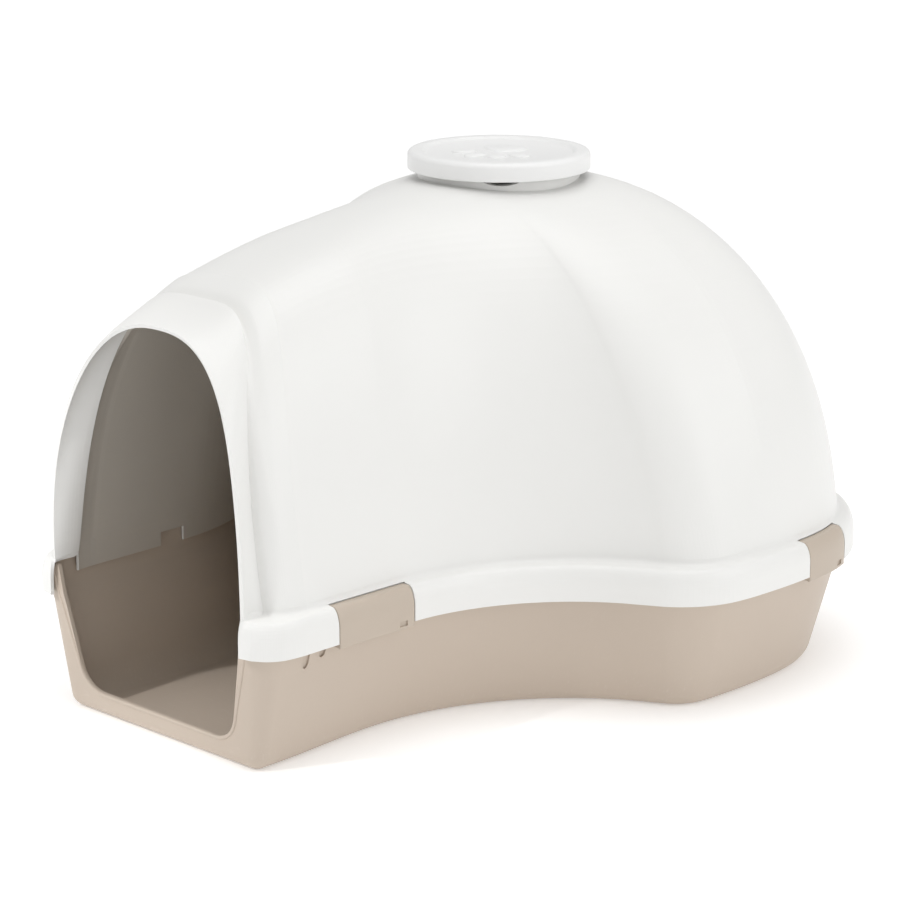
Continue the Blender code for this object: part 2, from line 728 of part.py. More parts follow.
def vent_slots(body):
    """Parallel slots through the hood's top, inside the collar."""
    count = int(VENT_FIELD_RADIUS / VENT_SLOT_PITCH)
    for number in range(-count, count + 1):
        across = number * VENT_SLOT_PITCH
        half = sqrt(VENT_FIELD_RADIUS ** 2 - across ** 2)
        low = (across - VENT_SLOT_WIDTH / 2.0, VENT_CENTRE.y - half, COLLAR_FOOT - PAST)
        high = (across + VENT_SLOT_WIDTH / 2.0, VENT_CENTRE.y + half, CAP_BOTTOM + PAST)
        boolean(body, blocked("vent_slot_" + str(number + count), low, high), "DIFFERENCE")


def hood(finish, places):
    body = hood_shell(finish)
    boolean(body, skirt(), "UNION")
    boolean(body, collar(), "UNION")
    vent_slots(body)
    for number in range(DIP_COUNT):
        turn = radians(360) * (number + 0.5) / DIP_COUNT
        boolean(body, collar_dip(turn, number), "DIFFERENCE")
    for side in (1.0, -1.0):
        boolean(body, skirt_notch(side), "DIFFERENCE")
        for place in places:
            boolean(body, notch(place, side), "DIFFERENCE")
    return body


def tub_slots(body):
    """Short upright recesses in the outside of the tub wall, behind the front corners."""
    for side in (1.0, -1.0):
        for number, from_front in enumerate(SLOT_FROM_FRONT):
            y = FRONT + from_front
            name = "tub_slot_" + str(number) + ("_right" if side > 0.0 else "_left")
            half = SLOT_WIDTH / 2.0
            face = RIM.points[CORNER_STATIONS].x - tub_inset(CORNER_STATIONS, 0.0)
            low_face = RIM.points[CORNER_STATIONS].x - tub_inset(CORNER_STATIONS, SLOT_FOOT_SHARE)
            top = SLOT_BOTTOM + SLOT_HEIGHT
            loops = []
            for level_y in (y - half, y + half):
                corners = (
                    (low_face - SLOT_DEPTH, SLOT_BOTTOM), (face - SLOT_DEPTH, top),
                    (face + PAST, top), (face + PAST, SLOT_BOTTOM))
                loops.append([Vector((side * x, level_y, z)) for x, z in corners])
            boolean(body, lofted(name, loops), "DIFFERENCE")


# ---- vent cap and filter ---------------------------------------------------------------

def vent_cap(finish):
    top = CAP_BOTTOM + CAP_HEIGHT
    under = top - CAP_WALL
    outline = [(0.0, top)]
    for step in range(5):
        turn = radians(90) * (1.0 - step / 4)
        outline.append((
            CAP_RADIUS - CAP_EDGE + CAP_EDGE * cos(turn),
            top - CAP_EDGE + CAP_EDGE * sin(turn)))
    spigot = COLLAR_RADIUS - COLLAR_WALL - CLEAR
    outline += [
        (CAP_RADIUS, CAP_BOTTOM),
        (CAP_RADIUS - CAP_WALL, CAP_BOTTOM),
        (CAP_RADIUS - CAP_WALL, under),
        (spigot, under),
        (spigot, under - SPIGOT_DEPTH),
        (spigot - SPIGOT_WALL, under - SPIGOT_DEPTH),
        (spigot - SPIGOT_WALL, under),
        (0.0, under)]
    body = turned("vent_cap", outline, VENT_CENTRE, finish, 64)
    set_origin(body, Vector((VENT_CENTRE.x, VENT_CENTRE.y, CAP_BOTTOM)))
    return body


def filter_pad(finish):
    top = CAP_BOTTOM + CAP_HEIGHT - CAP_WALL - GAP
    radius = COLLAR_RADIUS - COLLAR_WALL - CLEAR - SPIGOT_WALL - CLEAR
    edge = PAD_THICKNESS / 4.0
    profile = (
        (0.0, top), (radius - edge, top), (radius, top - edge),
        (radius, top - PAD_THICKNESS + edge), (radius - edge, top - PAD_THICKNESS),
        (0.0, top - PAD_THICKNESS))
    return turned("filter_pad", profile, VENT_CENTRE, finish)


# ---- build -----------------------------------------------------------------------------

def clear_scene():
    for item in list(bpy.data.objects):
        bpy.data.objects.remove(item, do_unlink=True)


def main():
    clear_scene()
    white = material("white_plastic", WHITE_PLASTIC, PLASTIC_ROUGHNESS)
    taupe = material("taupe_plastic", TAUPE_PLASTIC, PLASTIC_ROUGHNESS)
    carbon = material("carbon_felt", CARBON_FELT, FELT_ROUGHNESS)
    places = latch_places()
    hood(white, places)
    base = tub(taupe)
    for side in (1.0, -1.0):
        for place in places:
            add_ears(base, place, side)
            set_origin(latch(place, side, taupe), hinge_axis(place, side))
    tub_slots(base)
    vent_cap(white)
    filter_pad(carbon)


main()
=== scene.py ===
import json
from math import asin, cos, pi, radians, sin, sqrt

import bmesh
import bpy
import numpy as np
from mathutils import Matrix, Vector

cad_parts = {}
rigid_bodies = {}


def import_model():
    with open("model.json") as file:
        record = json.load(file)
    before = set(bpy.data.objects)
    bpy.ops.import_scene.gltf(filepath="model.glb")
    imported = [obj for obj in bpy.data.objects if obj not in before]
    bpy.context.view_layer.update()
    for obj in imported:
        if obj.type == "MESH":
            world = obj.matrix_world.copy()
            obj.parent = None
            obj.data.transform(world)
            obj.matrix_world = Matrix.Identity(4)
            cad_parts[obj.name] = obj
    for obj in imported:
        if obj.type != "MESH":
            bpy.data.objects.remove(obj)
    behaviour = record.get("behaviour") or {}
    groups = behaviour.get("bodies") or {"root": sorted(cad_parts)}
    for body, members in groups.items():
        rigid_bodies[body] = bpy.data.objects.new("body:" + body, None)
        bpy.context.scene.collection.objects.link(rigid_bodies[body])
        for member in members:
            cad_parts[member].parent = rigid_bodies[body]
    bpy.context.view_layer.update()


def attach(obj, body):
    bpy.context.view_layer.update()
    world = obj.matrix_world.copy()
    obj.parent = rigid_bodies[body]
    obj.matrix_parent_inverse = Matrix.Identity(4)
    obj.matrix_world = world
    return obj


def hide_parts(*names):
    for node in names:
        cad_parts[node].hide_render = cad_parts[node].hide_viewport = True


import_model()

# Hooded cat litter box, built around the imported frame. Metres, +Z up, entry towards -Y.

scene = bpy.context.scene


# ---- camera, light and floor

camera = {"azimuth": 44.0, "elevation": 15.2, "lens": 120.0, "sensor": 36.0, "distance": 2.3077,
          "target": (0.0, 0.0188, 0.155)}

lights = {
    "overhead": {"from": (0.3, 0.0, 2.6), "size": 2.4, "power": 24.0},
    "leftWindow": {"from": (-0.5, -1.6, 1.7), "size": 0.8, "power": 2.5},
    "rightWindow": {"from": (2.5, 0.9, 1.3), "size": 1.8, "power": 11.0},
}

doorLight = {"from": (-0.35, -1.70, 1.45), "at": (0.0, -0.15, 0.0), "power": 70.0, "spread": 11.0}


def headedTo(place, target):
    return (Vector(place) - Vector(target)).to_track_quat("Z", "Y").to_euler()


def makeCamera():
    data = bpy.data.cameras.new("camera")
    data.lens = camera["lens"]
    data.sensor_width = camera["sensor"]
    around = radians(camera["azimuth"])
    above = radians(camera["elevation"])
    back = Vector((sin(around) * cos(above), -cos(around) * cos(above), sin(above)))
    made = bpy.data.objects.new("camera", data)
    made.location = Vector(camera["target"]) + back * camera["distance"]
    made.rotation_euler = headedTo(made.location, camera["target"])
    scene.collection.objects.link(made)
    scene.camera = made


def makeLights():
    for name, light in lights.items():
        data = bpy.data.lights.new(name, "AREA")
        data.shape = "DISK"
        data.size = light["size"]
        data.energy = light["power"]
        made = bpy.data.objects.new(name, data)
        made.location = light["from"]
        made.rotation_euler = headedTo(light["from"], (0.0, 0.0, 0.12))
        scene.collection.objects.link(made)
    data = bpy.data.lights.new("doorLight", "SPOT")        # reaches the floor just inside the entry
    data.energy = doorLight["power"]
    data.spot_size = radians(doorLight["spread"])
    data.spot_blend = 1.0
    data.shadow_soft_size = 0.05
    made = bpy.data.objects.new("doorLight", data)
    made.location = doorLight["from"]
    made.rotation_euler = headedTo(doorLight["from"], doorLight["at"])
    scene.collection.objects.link(made)
    world = bpy.data.worlds.new("studio")
    world.use_nodes = True
    world.node_tree.nodes["Background"].inputs["Color"].default_value = (1.0, 1.0, 1.0, 1.0)
    world.node_tree.nodes["Background"].inputs["Strength"].default_value = 0.61
    scene.world = world
    scene.view_settings.view_transform = "Standard"


# ---- node graphs

class Wire:
    # an output socket that can stand in a sum
    def __init__(self, graph, socket):
        self.graph = graph
        self.socket = socket

    def __add__(self, other):
        return self.graph.maths("ADD", self, other)

    def __sub__(self, other):
        return self.graph.maths("SUBTRACT", self, other)

    def __rsub__(self, other):
        return self.graph.maths("SUBTRACT", other, self)

    def __mul__(self, other):
        return self.graph.maths("MULTIPLY", self, other)

    def __truediv__(self, other):
        return self.graph.maths("DIVIDE", self, other)

    def __rtruediv__(self, other):
        return self.graph.maths("DIVIDE", other, self)

    __radd__ = __add__
    __rmul__ = __mul__


class Graph:
    def __init__(self, tree):
        self.tree = tree

    def node(self, kind, settings=None, sockets=None, output=0):
        made = self.tree.nodes.new(kind)
        for name, value in (settings or {}).items():
            if name == "stops":
                for stop, (at, shade) in zip(made.color_ramp.elements, value):
                    stop.position = at
                    stop.color = (shade, shade, shade, 1.0)
            else:
                setattr(made, name, value)
        for key, value in (sockets or {}).items():
            if isinstance(value, Wire):
                self.tree.links.new(value.socket, made.inputs[key])
            else:
                made.inputs[key].default_value = value
        return Wire(self, made.outputs[output]) if made.outputs else made

    def maths(self, operation, first, second=0.0):
        return self.node("ShaderNodeMath", {"operation": operation}, {0: first, 1: second})


# ---- finishes

plasticLooks = {
    "hoodWhite": {"light": (0.842, 0.838, 0.818), "dark": (0.815, 0.812, 0.792), "roughness": 0.36,
                  "grain": 1500.0, "grainDepth": 0.000018, "ripple": 16.0, "rippleDepth": 0.00010,
                  "scuff": 0.0, "specular": 0.42},
    "capWhite": {"light": (0.858, 0.858, 0.850), "dark": (0.832, 0.832, 0.824), "roughness": 0.33,
                 "grain": 1500.0, "grainDepth": 0.000014, "ripple": 20.0, "rippleDepth": 0.00004,
                 "scuff": 0.0, "specular": 0.42},
    "tubTaupe": {"light": (0.575, 0.489, 0.408), "dark": (0.542, 0.460, 0.384), "roughness": 0.46,
                 "grain": 1100.0, "grainDepth": 0.000035, "ripple": 14.0, "rippleDepth": 0.00006,
                 "scuff": 0.35, "specular": 0.38},
    "latchTaupe": {"light": (0.545, 0.466, 0.388), "dark": (0.520, 0.444, 0.368), "roughness": 0.42,
                   "grain": 1100.0, "grainDepth": 0.000028, "ripple": 30.0, "rippleDepth": 0.00002,
                   "scuff": 0.12, "specular": 0.38},
}


def plasticFinish(name):
    look = plasticLooks[name]
    material = bpy.data.materials.new(name)
    material.use_nodes = True
    material.node_tree.nodes.clear()
    graph = Graph(material.node_tree)
    place = graph.node("ShaderNodeTexCoord", output=3)
    height = graph.node("ShaderNodeSeparateXYZ", {}, {0: place}, output=2)
    cloud = graph.node("ShaderNodeTexNoise", {}, {"Vector": place, "Scale": 7.0, "Detail": 3.0})
    grain = graph.node("ShaderNodeTexNoise", {}, {"Vector": place, "Scale": look["grain"], "Detail": 2.0})
    ripple = graph.node("ShaderNodeTexNoise", {}, {"Vector": place, "Scale": look["ripple"], "Detail": 1.0})
    scratches = graph.node("ShaderNodeMapping", {}, {0: place, 2: (0.2, 0.1, 0.5), 3: (60.0, 900.0, 240.0)})
    streaks = graph.node("ShaderNodeTexNoise", {}, {"Vector": scratches, "Scale": 1.0, "Detail": 2.0})
    streakMask = graph.node("ShaderNodeValToRGB", {"stops": ((0.60, 0.0), (0.74, 1.0))}, {0: streaks})
    nearFloor = graph.node("ShaderNodeMapRange", {}, {0: height, 1: 0.030, 2: 0.002, 3: 0.25, 4: 1.0})
    worn = streakMask * nearFloor * look["scuff"]
    tint = graph.node("ShaderNodeMix", {"data_type": "RGBA"},
                      {0: cloud, 6: (*look["dark"], 1.0), 7: (*look["light"], 1.0)}, output=2)
    # painted shade: faces marked 'inner' get a darker, warmer colour that stands in for the shadow inside the
    # hood, and also more roughness
    insideShadeMask = graph.node("ShaderNodeAttribute", {"attribute_name": "inner"}, output=2)
    insideShadeColour = tuple(part * warm for part, warm in zip(look["light"], (0.66, 0.62, 0.57)))
    tint = graph.node("ShaderNodeMix", {"data_type": "RGBA"}, {0: insideShadeMask, 6: tint, 7: (*insideShadeColour, 1.0)}, output=2)
    paler = tuple(1.0 - (1.0 - part) * 0.82 for part in look["light"])
    colour = graph.node("ShaderNodeMix", {"data_type": "RGBA"},
                        {0: worn, 6: tint, 7: (*paler, 1.0)}, output=2)
    roughness = look["roughness"] + (cloud - 0.5) * 0.10 + (grain - 0.5) * 0.12 + worn * 0.15
    roughness = roughness + insideShadeMask * 0.22
    waves = graph.node("ShaderNodeBump", {}, {"Strength": 1.0, "Distance": look["rippleDepth"],
                                             "Height": ripple})
    skin = graph.node("ShaderNodeBump", {}, {"Strength": 1.0, "Distance": look["grainDepth"],
                                            "Height": grain - worn * 0.5, "Normal": waves})
    shader = graph.node("ShaderNodeBsdfPrincipled", {}, {
        "Base Color": colour, "Roughness": roughness, "Normal": skin,
        "Specular IOR Level": look["specular"]})
    graph.node("ShaderNodeOutputMaterial", {}, {0: shader})
    return material


feltLook = {"dark": (0.012, 0.012, 0.013), "light": (0.060, 0.060, 0.064), "fibre": 1400.0, "tuft": 260.0}


def feltFinish():
    material = bpy.data.materials.new("carbonFelt")
    material.use_nodes = True
    material.node_tree.nodes.clear()
    graph = Graph(material.node_tree)
    place = graph.node("ShaderNodeTexCoord", output=3)
    stretched = graph.node("ShaderNodeMapping", {}, {0: place, 2: (0.4, 0.9, 0.3), 3: (1.0, 0.22, 1.0)})
    fibres = graph.node("ShaderNodeTexNoise", {}, {"Vector": stretched, "Scale": feltLook["fibre"],
                                                   "Detail": 4.0, "Distortion": 1.4})
    tufts = graph.node("ShaderNodeTexNoise", {}, {"Vector": place, "Scale": feltLook["tuft"], "Detail": 2.0})
    fuzz = fibres * 0.65 + tufts * 0.35
    colour = graph.node("ShaderNodeMix", {"data_type": "RGBA"},
                        {0: fuzz, 6: (*feltLook["dark"], 1.0), 7: (*feltLook["light"], 1.0)}, output=2)
    bump = graph.node("ShaderNodeBump", {}, {"Strength": 1.0, "Distance": 0.0004, "Height": fuzz})
    shader = graph.node("ShaderNodeBsdfPrincipled", {}, {
        "Base Color": colour, "Roughness": 0.96, "Normal": bump, "Sheen Weight": 0.25})
    graph.node("ShaderNodeOutputMaterial", {}, {0: shader})
    return material


def floorFinish():
    material = bpy.data.materials.new("palePaper")
    material.use_nodes = True
    material.node_tree.nodes.clear()
    graph = Graph(material.node_tree)
    place = graph.node("ShaderNodeTexCoord", output=3)
    away = graph.node("ShaderNodeVectorMath", {"operation": "LENGTH"}, {0: place}, output=1)
    glow = graph.node("ShaderNodeMapRange", {}, {0: away, 1: 0.8, 2: 3.6, 3: 0.24, 4: 0.52})
    shine = graph.node("ShaderNodeCombineColor", {}, {0: glow, 1: glow, 2: glow})
    shader = graph.node("ShaderNodeBsdfPrincipled", {}, {
        "Base Color": (0.95, 0.95, 0.95, 1.0), "Roughness": 0.9, "Emission Color": shine,
        "Emission Strength": 1.0})
    graph.node("ShaderNodeOutputMaterial", {}, {0: shader})
    return material


def makeFloor():
    form = bmesh.new()
    bmesh.ops.create_grid(form, x_segments=2, y_segments=2, size=9.0)
    mesh = bpy.data.meshes.new("studioFloor")
    form.to_mesh(mesh)
    form.free()
    mesh.materials.append(floorFinish())
    made = bpy.data.objects.new("studioFloor", mesh)
    scene.collection.objects.link(made)


# ---- mesh helpers

def takeEvaluated(piece):
    # swaps the piece's mesh for its evaluated one and drops the modifiers
    bpy.context.view_layer.update()
    ready = piece.evaluated_get(bpy.context.evaluated_depsgraph_get())
    mesh = bpy.data.meshes.new_from_object(ready)
    piece.modifiers.clear()
    piece.data = mesh
    return mesh


def pieceFrom(name, form, finish=None):
    mesh = bpy.data.meshes.new(name)
    form.to_mesh(mesh)
    form.free()
    if finish:
        mesh.materials.append(finish)
    made = bpy.data.objects.new(name, mesh)
    scene.collection.objects.link(made)
    return made


def settled(piece, finish, sharpAngle=34.0):
    # applies the modifiers, keeps one finish and shades the surface smooth up to sharp edges
    mesh = takeEvaluated(piece)
    mesh.materials.clear()
    mesh.materials.append(finish)
    mesh.polygons.foreach_set("material_index", [0] * len(mesh.polygons))
    mesh.polygons.foreach_set("use_smooth", [True] * len(mesh.polygons))
    mesh.set_sharp_from_angle(angle=radians(sharpAngle))
    mesh.name = piece.name


def joinInto(piece, others, operation):
    # one exact Boolean with a set of helper bodies, which are then dropped
    group = bpy.data.collections.new("helpers")
    scene.collection.children.link(group)
    for other in others:
        scene.collection.objects.unlink(other)
        group.objects.link(other)
    step = piece.modifiers.new(operation.lower(), "BOOLEAN")
    step.operation = operation
    step.solver = "EXACT"
    step.operand_type = "COLLECTION"
    step.collection = group
    takeEvaluated(piece)
    for other in list(group.objects):
        bpy.data.objects.remove(other)
    bpy.data.collections.remove(group)


def loftForm(loops):
    # closed solid through loops of equal length
    form = bmesh.new()
    rings = [[form.verts.new(point) for point in loop] for loop in loops]
    for ring, following in zip(rings, rings[1:]):
        count = len(ring)
        for corner in range(count):
            after = (corner + 1) % count
            form.faces.new((ring[corner], ring[after], following[after], following[corner]))
    form.faces.new(rings[0])
    form.faces.new(rings[-1])
    bmesh.ops.recalc_face_normals(form, faces=form.faces)
    return form


def turnedForm(profile, centre, segments):
    # solid of revolution from a closed (radius, z) profile
    form = bmesh.new()
    rings = []
    for step in range(segments):
        turn = 2.0 * pi * step / segments
        rings.append([form.verts.new((centre[0] + radius * cos(turn), centre[1] + radius * sin(turn), z))
                      for radius, z in profile])
    count = len(profile)
    for step in range(segments):
        ring = rings[step]
        following = rings[(step + 1) % segments]
        for corner in range(count):
            after = (corner + 1) % count
            form.faces.new((ring[corner], ring[after], following[after], following[corner]))
    bmesh.ops.remove_doubles(form, verts=form.verts, dist=0.000005)
    bmesh.ops.recalc_face_normals(form, faces=form.faces)
    return form


def blockForm(low, high):
    form = bmesh.new()
    bmesh.ops.create_cube(form, size=1.0)
    for vert in form.verts:
        for axis in range(3):
            vert.co[axis] = low[axis] if vert.co[axis] < 0.0 else high[axis]
    return form


def roundedProfile(corners, radii, steps=5):
    # closed outline of (a, b) corners, each rounded by its own radius
    outline = []
    count = len(corners)
    for index in range(count):
        before = Vector(corners[index - 1])
        here = Vector(corners[index])
        after = Vector(corners[(index + 1) % count])
        radius = radii[index]
        if radius <= 0.0:
            outline.append(tuple(here))
            continue
        into = (before - here).normalized()
        out = (after - here).normalized()
        half = into.angle(out) / 2.0
        reach = radius / max(1e-6, sin(half) / cos(half))
        centre = here + (into + out).normalized() * (radius / sin(half))
        start = here + into * reach - centre
        end = here + out * reach - centre
        for step in range(steps + 1):
            share = step / steps
            swing = start.normalized().slerp(end.normalized(), share)
            outline.append(tuple(centre + swing * radius))
    return outline


def mirrored(loops, side):
    return [[Vector((point.x * side, point.y, point.z)) for point in loop] for loop in loops]


def sideName(side):
    return "right" if side > 0.0 else "left"


# ---- plan of the rim, shared by the hood, the tub and the latches

rim = {"tunnelHalfWidth": 0.129, "bodyHalfWidth": 0.268, "frontCornerRadius": 0.028, "tunnelLength": 0.106,
       "sideLength": 0.098, "rearCornerRadius": 0.150, "splay": radians(1), "flareHeading": radians(25),
       "flareShare": 0.705, "sideBow": radians(6), "rearTurn": radians(165),
       "bottom": 0.088, "top": 0.114, "ledge": 0.013, "flareLedge": 0.007, "rounding": 0.007}

stationCounts = {"corner": 4, "tunnel": 4, "hollow": 8, "round": 6, "side": 4, "rearCorner": 7, "rear": 4}
cornerLast = stationCounts["corner"]
tunnelLast = cornerLast + stationCounts["tunnel"]
flareLast = tunnelLast + stationCounts["hollow"] + stationCounts["round"]


def headingVector(heading):
    return Vector((cos(heading), sin(heading)))


def leftOf(heading):
    return Vector((-sin(heading), cos(heading)))


def smoothStep(value, low, high):
    share = min(max((value - low) / (high - low), 0.0), 1.0)
    return share * share * (3.0 - 2.0 * share)


class RimPen:
    # draws the right half of the rim line and keeps its points and headings
    def __init__(self):
        self.at = Vector((rim["tunnelHalfWidth"] - rim["frontCornerRadius"], 0.0))
        self.heading = 0.0
        self.points = [self.at.copy()]
        self.headings = [0.0]

    def keep(self):
        self.points.append(self.at.copy())
        self.headings.append(self.heading)

    def arc(self, radius, end, count):
        side = 1.0 if end > self.heading else -1.0
        centre = self.at + leftOf(self.heading) * radius * side
        start = self.heading
        for step in range(1, count + 1):
            self.heading = start + (end - start) * step / count
            self.at = centre - leftOf(self.heading) * radius * side
            self.keep()

    def line(self, length, count):
        start = self.at.copy()
        for step in range(1, count + 1):
            self.at = start + headingVector(self.heading) * length * step / count
            self.keep()


def drawRim():
    pen = RimPen()
    tunnel = radians(90) - rim["splay"]
    pen.arc(rim["frontCornerRadius"], tunnel, stationCounts["corner"])
    pen.line(rim["tunnelLength"], stationCounts["tunnel"])
    sideStart = radians(90) - rim["sideBow"]
    spread = rim["bodyHalfWidth"] - pen.at.x
    hollow = sin(tunnel) - sin(rim["flareHeading"])
    roundOut = 1.0 - sin(rim["flareHeading"])
    scale = spread / (rim["flareShare"] * hollow + (1.0 - rim["flareShare"]) * roundOut)
    pen.arc(scale * rim["flareShare"], rim["flareHeading"], stationCounts["hollow"])
    pen.arc(scale * (1.0 - rim["flareShare"]), sideStart, stationCounts["round"])
    pen.arc(rim["sideLength"] / (2.0 * rim["sideBow"]), pi - sideStart, stationCounts["side"])
    pen.arc(rim["rearCornerRadius"], rim["rearTurn"], stationCounts["rearCorner"])
    pen.arc(pen.at.x / sin(pen.heading), pi, stationCounts["rear"])
    shift = (pen.points[0].y + pen.points[-1].y) / 2.0
    for point in pen.points:
        point.y -= shift
    return pen


rimLine = drawRim()
front = rimLine.points[0].y
widestY = rimLine.points[flareLast].y
tunnelEnd = rimLine.points[tunnelLast].y
domeY = widestY + 0.050
ventCentre = (0.0, widestY + 0.027)
tubTop = rim["top"] - 0.0025 - 0.0012


def ledgeAt(index):
    if index <= tunnelLast or rimLine.points[index].y > domeY:
        return rim["ledge"]
    return rim["ledge"] + rim["flareLedge"] * cos(rimLine.headings[index]) ** 2


def finer(table, index, share, breakAt=None):
    # a row between two stations, on a smooth path through all of them; the path may break at one
    count = len(table)
    here = table[index]
    following = table[index + 1]
    gap = max(1e-6, float(np.hypot(*(following[:2] - here[:2]))))
    straight = (following - here) / gap

    def slope(middle, earlier, later):
        back = max(1e-6, float(np.hypot(*(middle[:2] - earlier[:2]))))
        ahead = max(1e-6, float(np.hypot(*(later[:2] - middle[:2]))))
        return ((middle - earlier) / back * ahead + (later - middle) / ahead * back) / (back + ahead)

    starts = index == 0 or index == breakAt
    ends = index + 1 == breakAt
    first = straight if starts else slope(here, table[index - 1], following)
    if ends:
        last = straight
    else:
        mirror = table[-2] * np.array([-1.0, 1.0] + [1.0] * (table.shape[1] - 2))
        beyond = table[index + 2] if index + 2 < count else mirror
        last = slope(following, here, beyond)
    t = share
    return (here * (2 * t ** 3 - 3 * t ** 2 + 1) + first * gap * (t ** 3 - 2 * t ** 2 + t)
            + following * (3 * t ** 2 - 2 * t ** 3) + last * gap * (t ** 3 - t ** 2))


# ---- hood

hood = {"top": 0.3655, "ridgeFall": 0.041, "ridgePower": 2.3, "entryTop": 0.300, "creaseTop": 0.315,
        "wall": 0.0025, "cornerWidth": 0.015, "cornerDepth": 0.022, "visorDepth": 0.0235,
        "visorFoot": 0.1020, "visorSetBack": 0.0045, "visorLean": 0.016, "lean": 0.036,
        "footFillet": 0.0040, "lipRounding": 0.0008, "skirtDepth": 0.018,
        "rowsPerStation": {"visor": 8, "corner": 6, "rest": 3}, "wallRows": 36}


def hoodFoot(index):
    if index == 0:
        return Vector((hood["visorFoot"], front + hood["visorSetBack"]))
    if index <= cornerLast:
        turn = radians(90) * (index - 1) / (cornerLast - 1)
        return Vector((rimLine.points[cornerLast].x - rim["ledge"] - hood["cornerWidth"] * (1.0 - sin(turn)),
                       front + hood["visorDepth"] + hood["cornerDepth"] * (1.0 - cos(turn))))
    return rimLine.points[index] + leftOf(rimLine.headings[index]) * ledgeAt(index)


def ridgeHeight(y):
    hoodFront = hoodFoot(cornerLast).y + hood["lean"]
    away = max(domeY - y, 0.0) / (domeY - hoodFront)
    return hood["top"] - hood["ridgeFall"] * away ** hood["ridgePower"]


def hoodStation(index):
    # what shapes the section there: rim edge, wall foot, spine point, squareness, taper, dome share
    edge = rimLine.points[index]
    foot = hoodFoot(index)
    tunnel = 1.0 - smoothStep(edge.y, front + 0.05, tunnelEnd + 0.15)
    along = min(max((edge.y - tunnelEnd) / (domeY - tunnelEnd), 0.0), 1.0)
    flare = 4.0 * along * (1.0 - along)
    power = 2.4 + 1.1 * tunnel
    taper = 0.105 + 0.185 * tunnel + 0.14 * flare
    dome = smoothStep(edge.y, tunnelEnd, domeY)
    if index == 0:
        return edge.x, edge.y, foot.x, foot.y, foot.y + hood["visorLean"], hood["entryTop"], 2.4, 0.0, dome
    if index == 1:
        return edge.x, edge.y, foot.x, foot.y, foot.y + hood["lean"], hood["creaseTop"], 4.3, 0.31, dome
    share = 1.0 - smoothStep(foot.y, hoodFoot(cornerLast).y, domeY)
    y = min(foot.y + hood["lean"] * share, domeY)
    shoulder = 0.007 if index == 2 else 0.0025 if index == 3 else 0.0
    return edge.x, edge.y, foot.x, foot.y, y, ridgeHeight(y) - shoulder, power, taper, dome


def rimOutline(edge, foot):
    # outer face of the rim, from its lower edge over its rounded top and the fillet to the wall
    height = rim["top"] - rim["bottom"]
    reach = (foot - edge).length
    rounding = min(0.62, rim["rounding"] / reach)
    fillet = min(hood["footFillet"], reach * 0.3)
    outline = [(edge, rim["bottom"]), (edge, rim["bottom"] + height * 0.14),
               (edge, rim["bottom"] + height * 0.28)]
    for step in range(9):
        turn = radians(90) * step / 8
        outline.append((edge.lerp(foot, rounding * (1.0 - cos(turn))),
                        rim["bottom"] + height * (0.42 + 0.57 * sin(turn))))
    ledgeEnd = 1.0 - fillet / reach
    for share in (0.33, 0.66):
        at = rounding + (ledgeEnd - rounding) * share
        outline.append((edge.lerp(foot, at), rim["top"] - height * 0.01 * (1.0 - share)))
    for step in range(6):
        turn = radians(90) * step / 5
        at = 1.0 - fillet * (1.0 - sin(turn)) / reach
        outline.append((edge.lerp(foot, at), rim["top"] + fillet * (1.0 - cos(turn))))
    return outline, fillet


def hoodSection(station):
    edge = Vector(station[0:2])
    foot = Vector(station[2:4])
    topY, topZ, power, taper, dome = station[4:9]
    outline, fillet = rimOutline(edge, foot)
    points = [Vector((place.x, place.y, z)) for place, z in outline]
    first = asin(fillet / (topZ - rim["top"]))
    rows = hood["wallRows"]
    for step in range(1, rows + 1):
        turn = first + (radians(90) - first) * step / rows
        flat = max(cos(turn), 0.0)
        reach = (flat ** power + sin(turn) ** power) ** (-1.0 / power)
        up = reach * sin(turn)
        across = reach * flat * (1.0 - taper * up)
        back = up ** 3 * (1.0 - dome) + (1.0 - across) * dome
        points.append(Vector((foot.x * across, foot.y + (topY - foot.y) * back,
                              rim["top"] + (topZ - rim["top"]) * up)))
    return points


def hoodRows():
    table = np.array([hoodStation(index) for index in range(len(rimLine.points))], float)
    rows = []
    for index in range(len(table) - 1):
        part = "visor" if index == 0 else "corner" if index < cornerLast else "rest"
        steps = hood["rowsPerStation"][part]
        for step in range(steps):
            rows.append(finer(table, index, step / steps, breakAt=1))
    rows.append(table[-1])
    return [hoodSection(row) for row in rows]


def visorFlare(rows):
    # the visor curls outwards, so its middle lies a little inside the straight band
    steps = hood["rowsPerStation"]["visor"]
    for number in range(1, steps):
        share = number / steps
        sink = 0.0016 * 4.0 * share * (1.0 - share)
        for point in rows[number][18:]:
            inward = Vector((-point.x, 0.0, 0.16 - point.z))
            point += inward.normalized() * sink


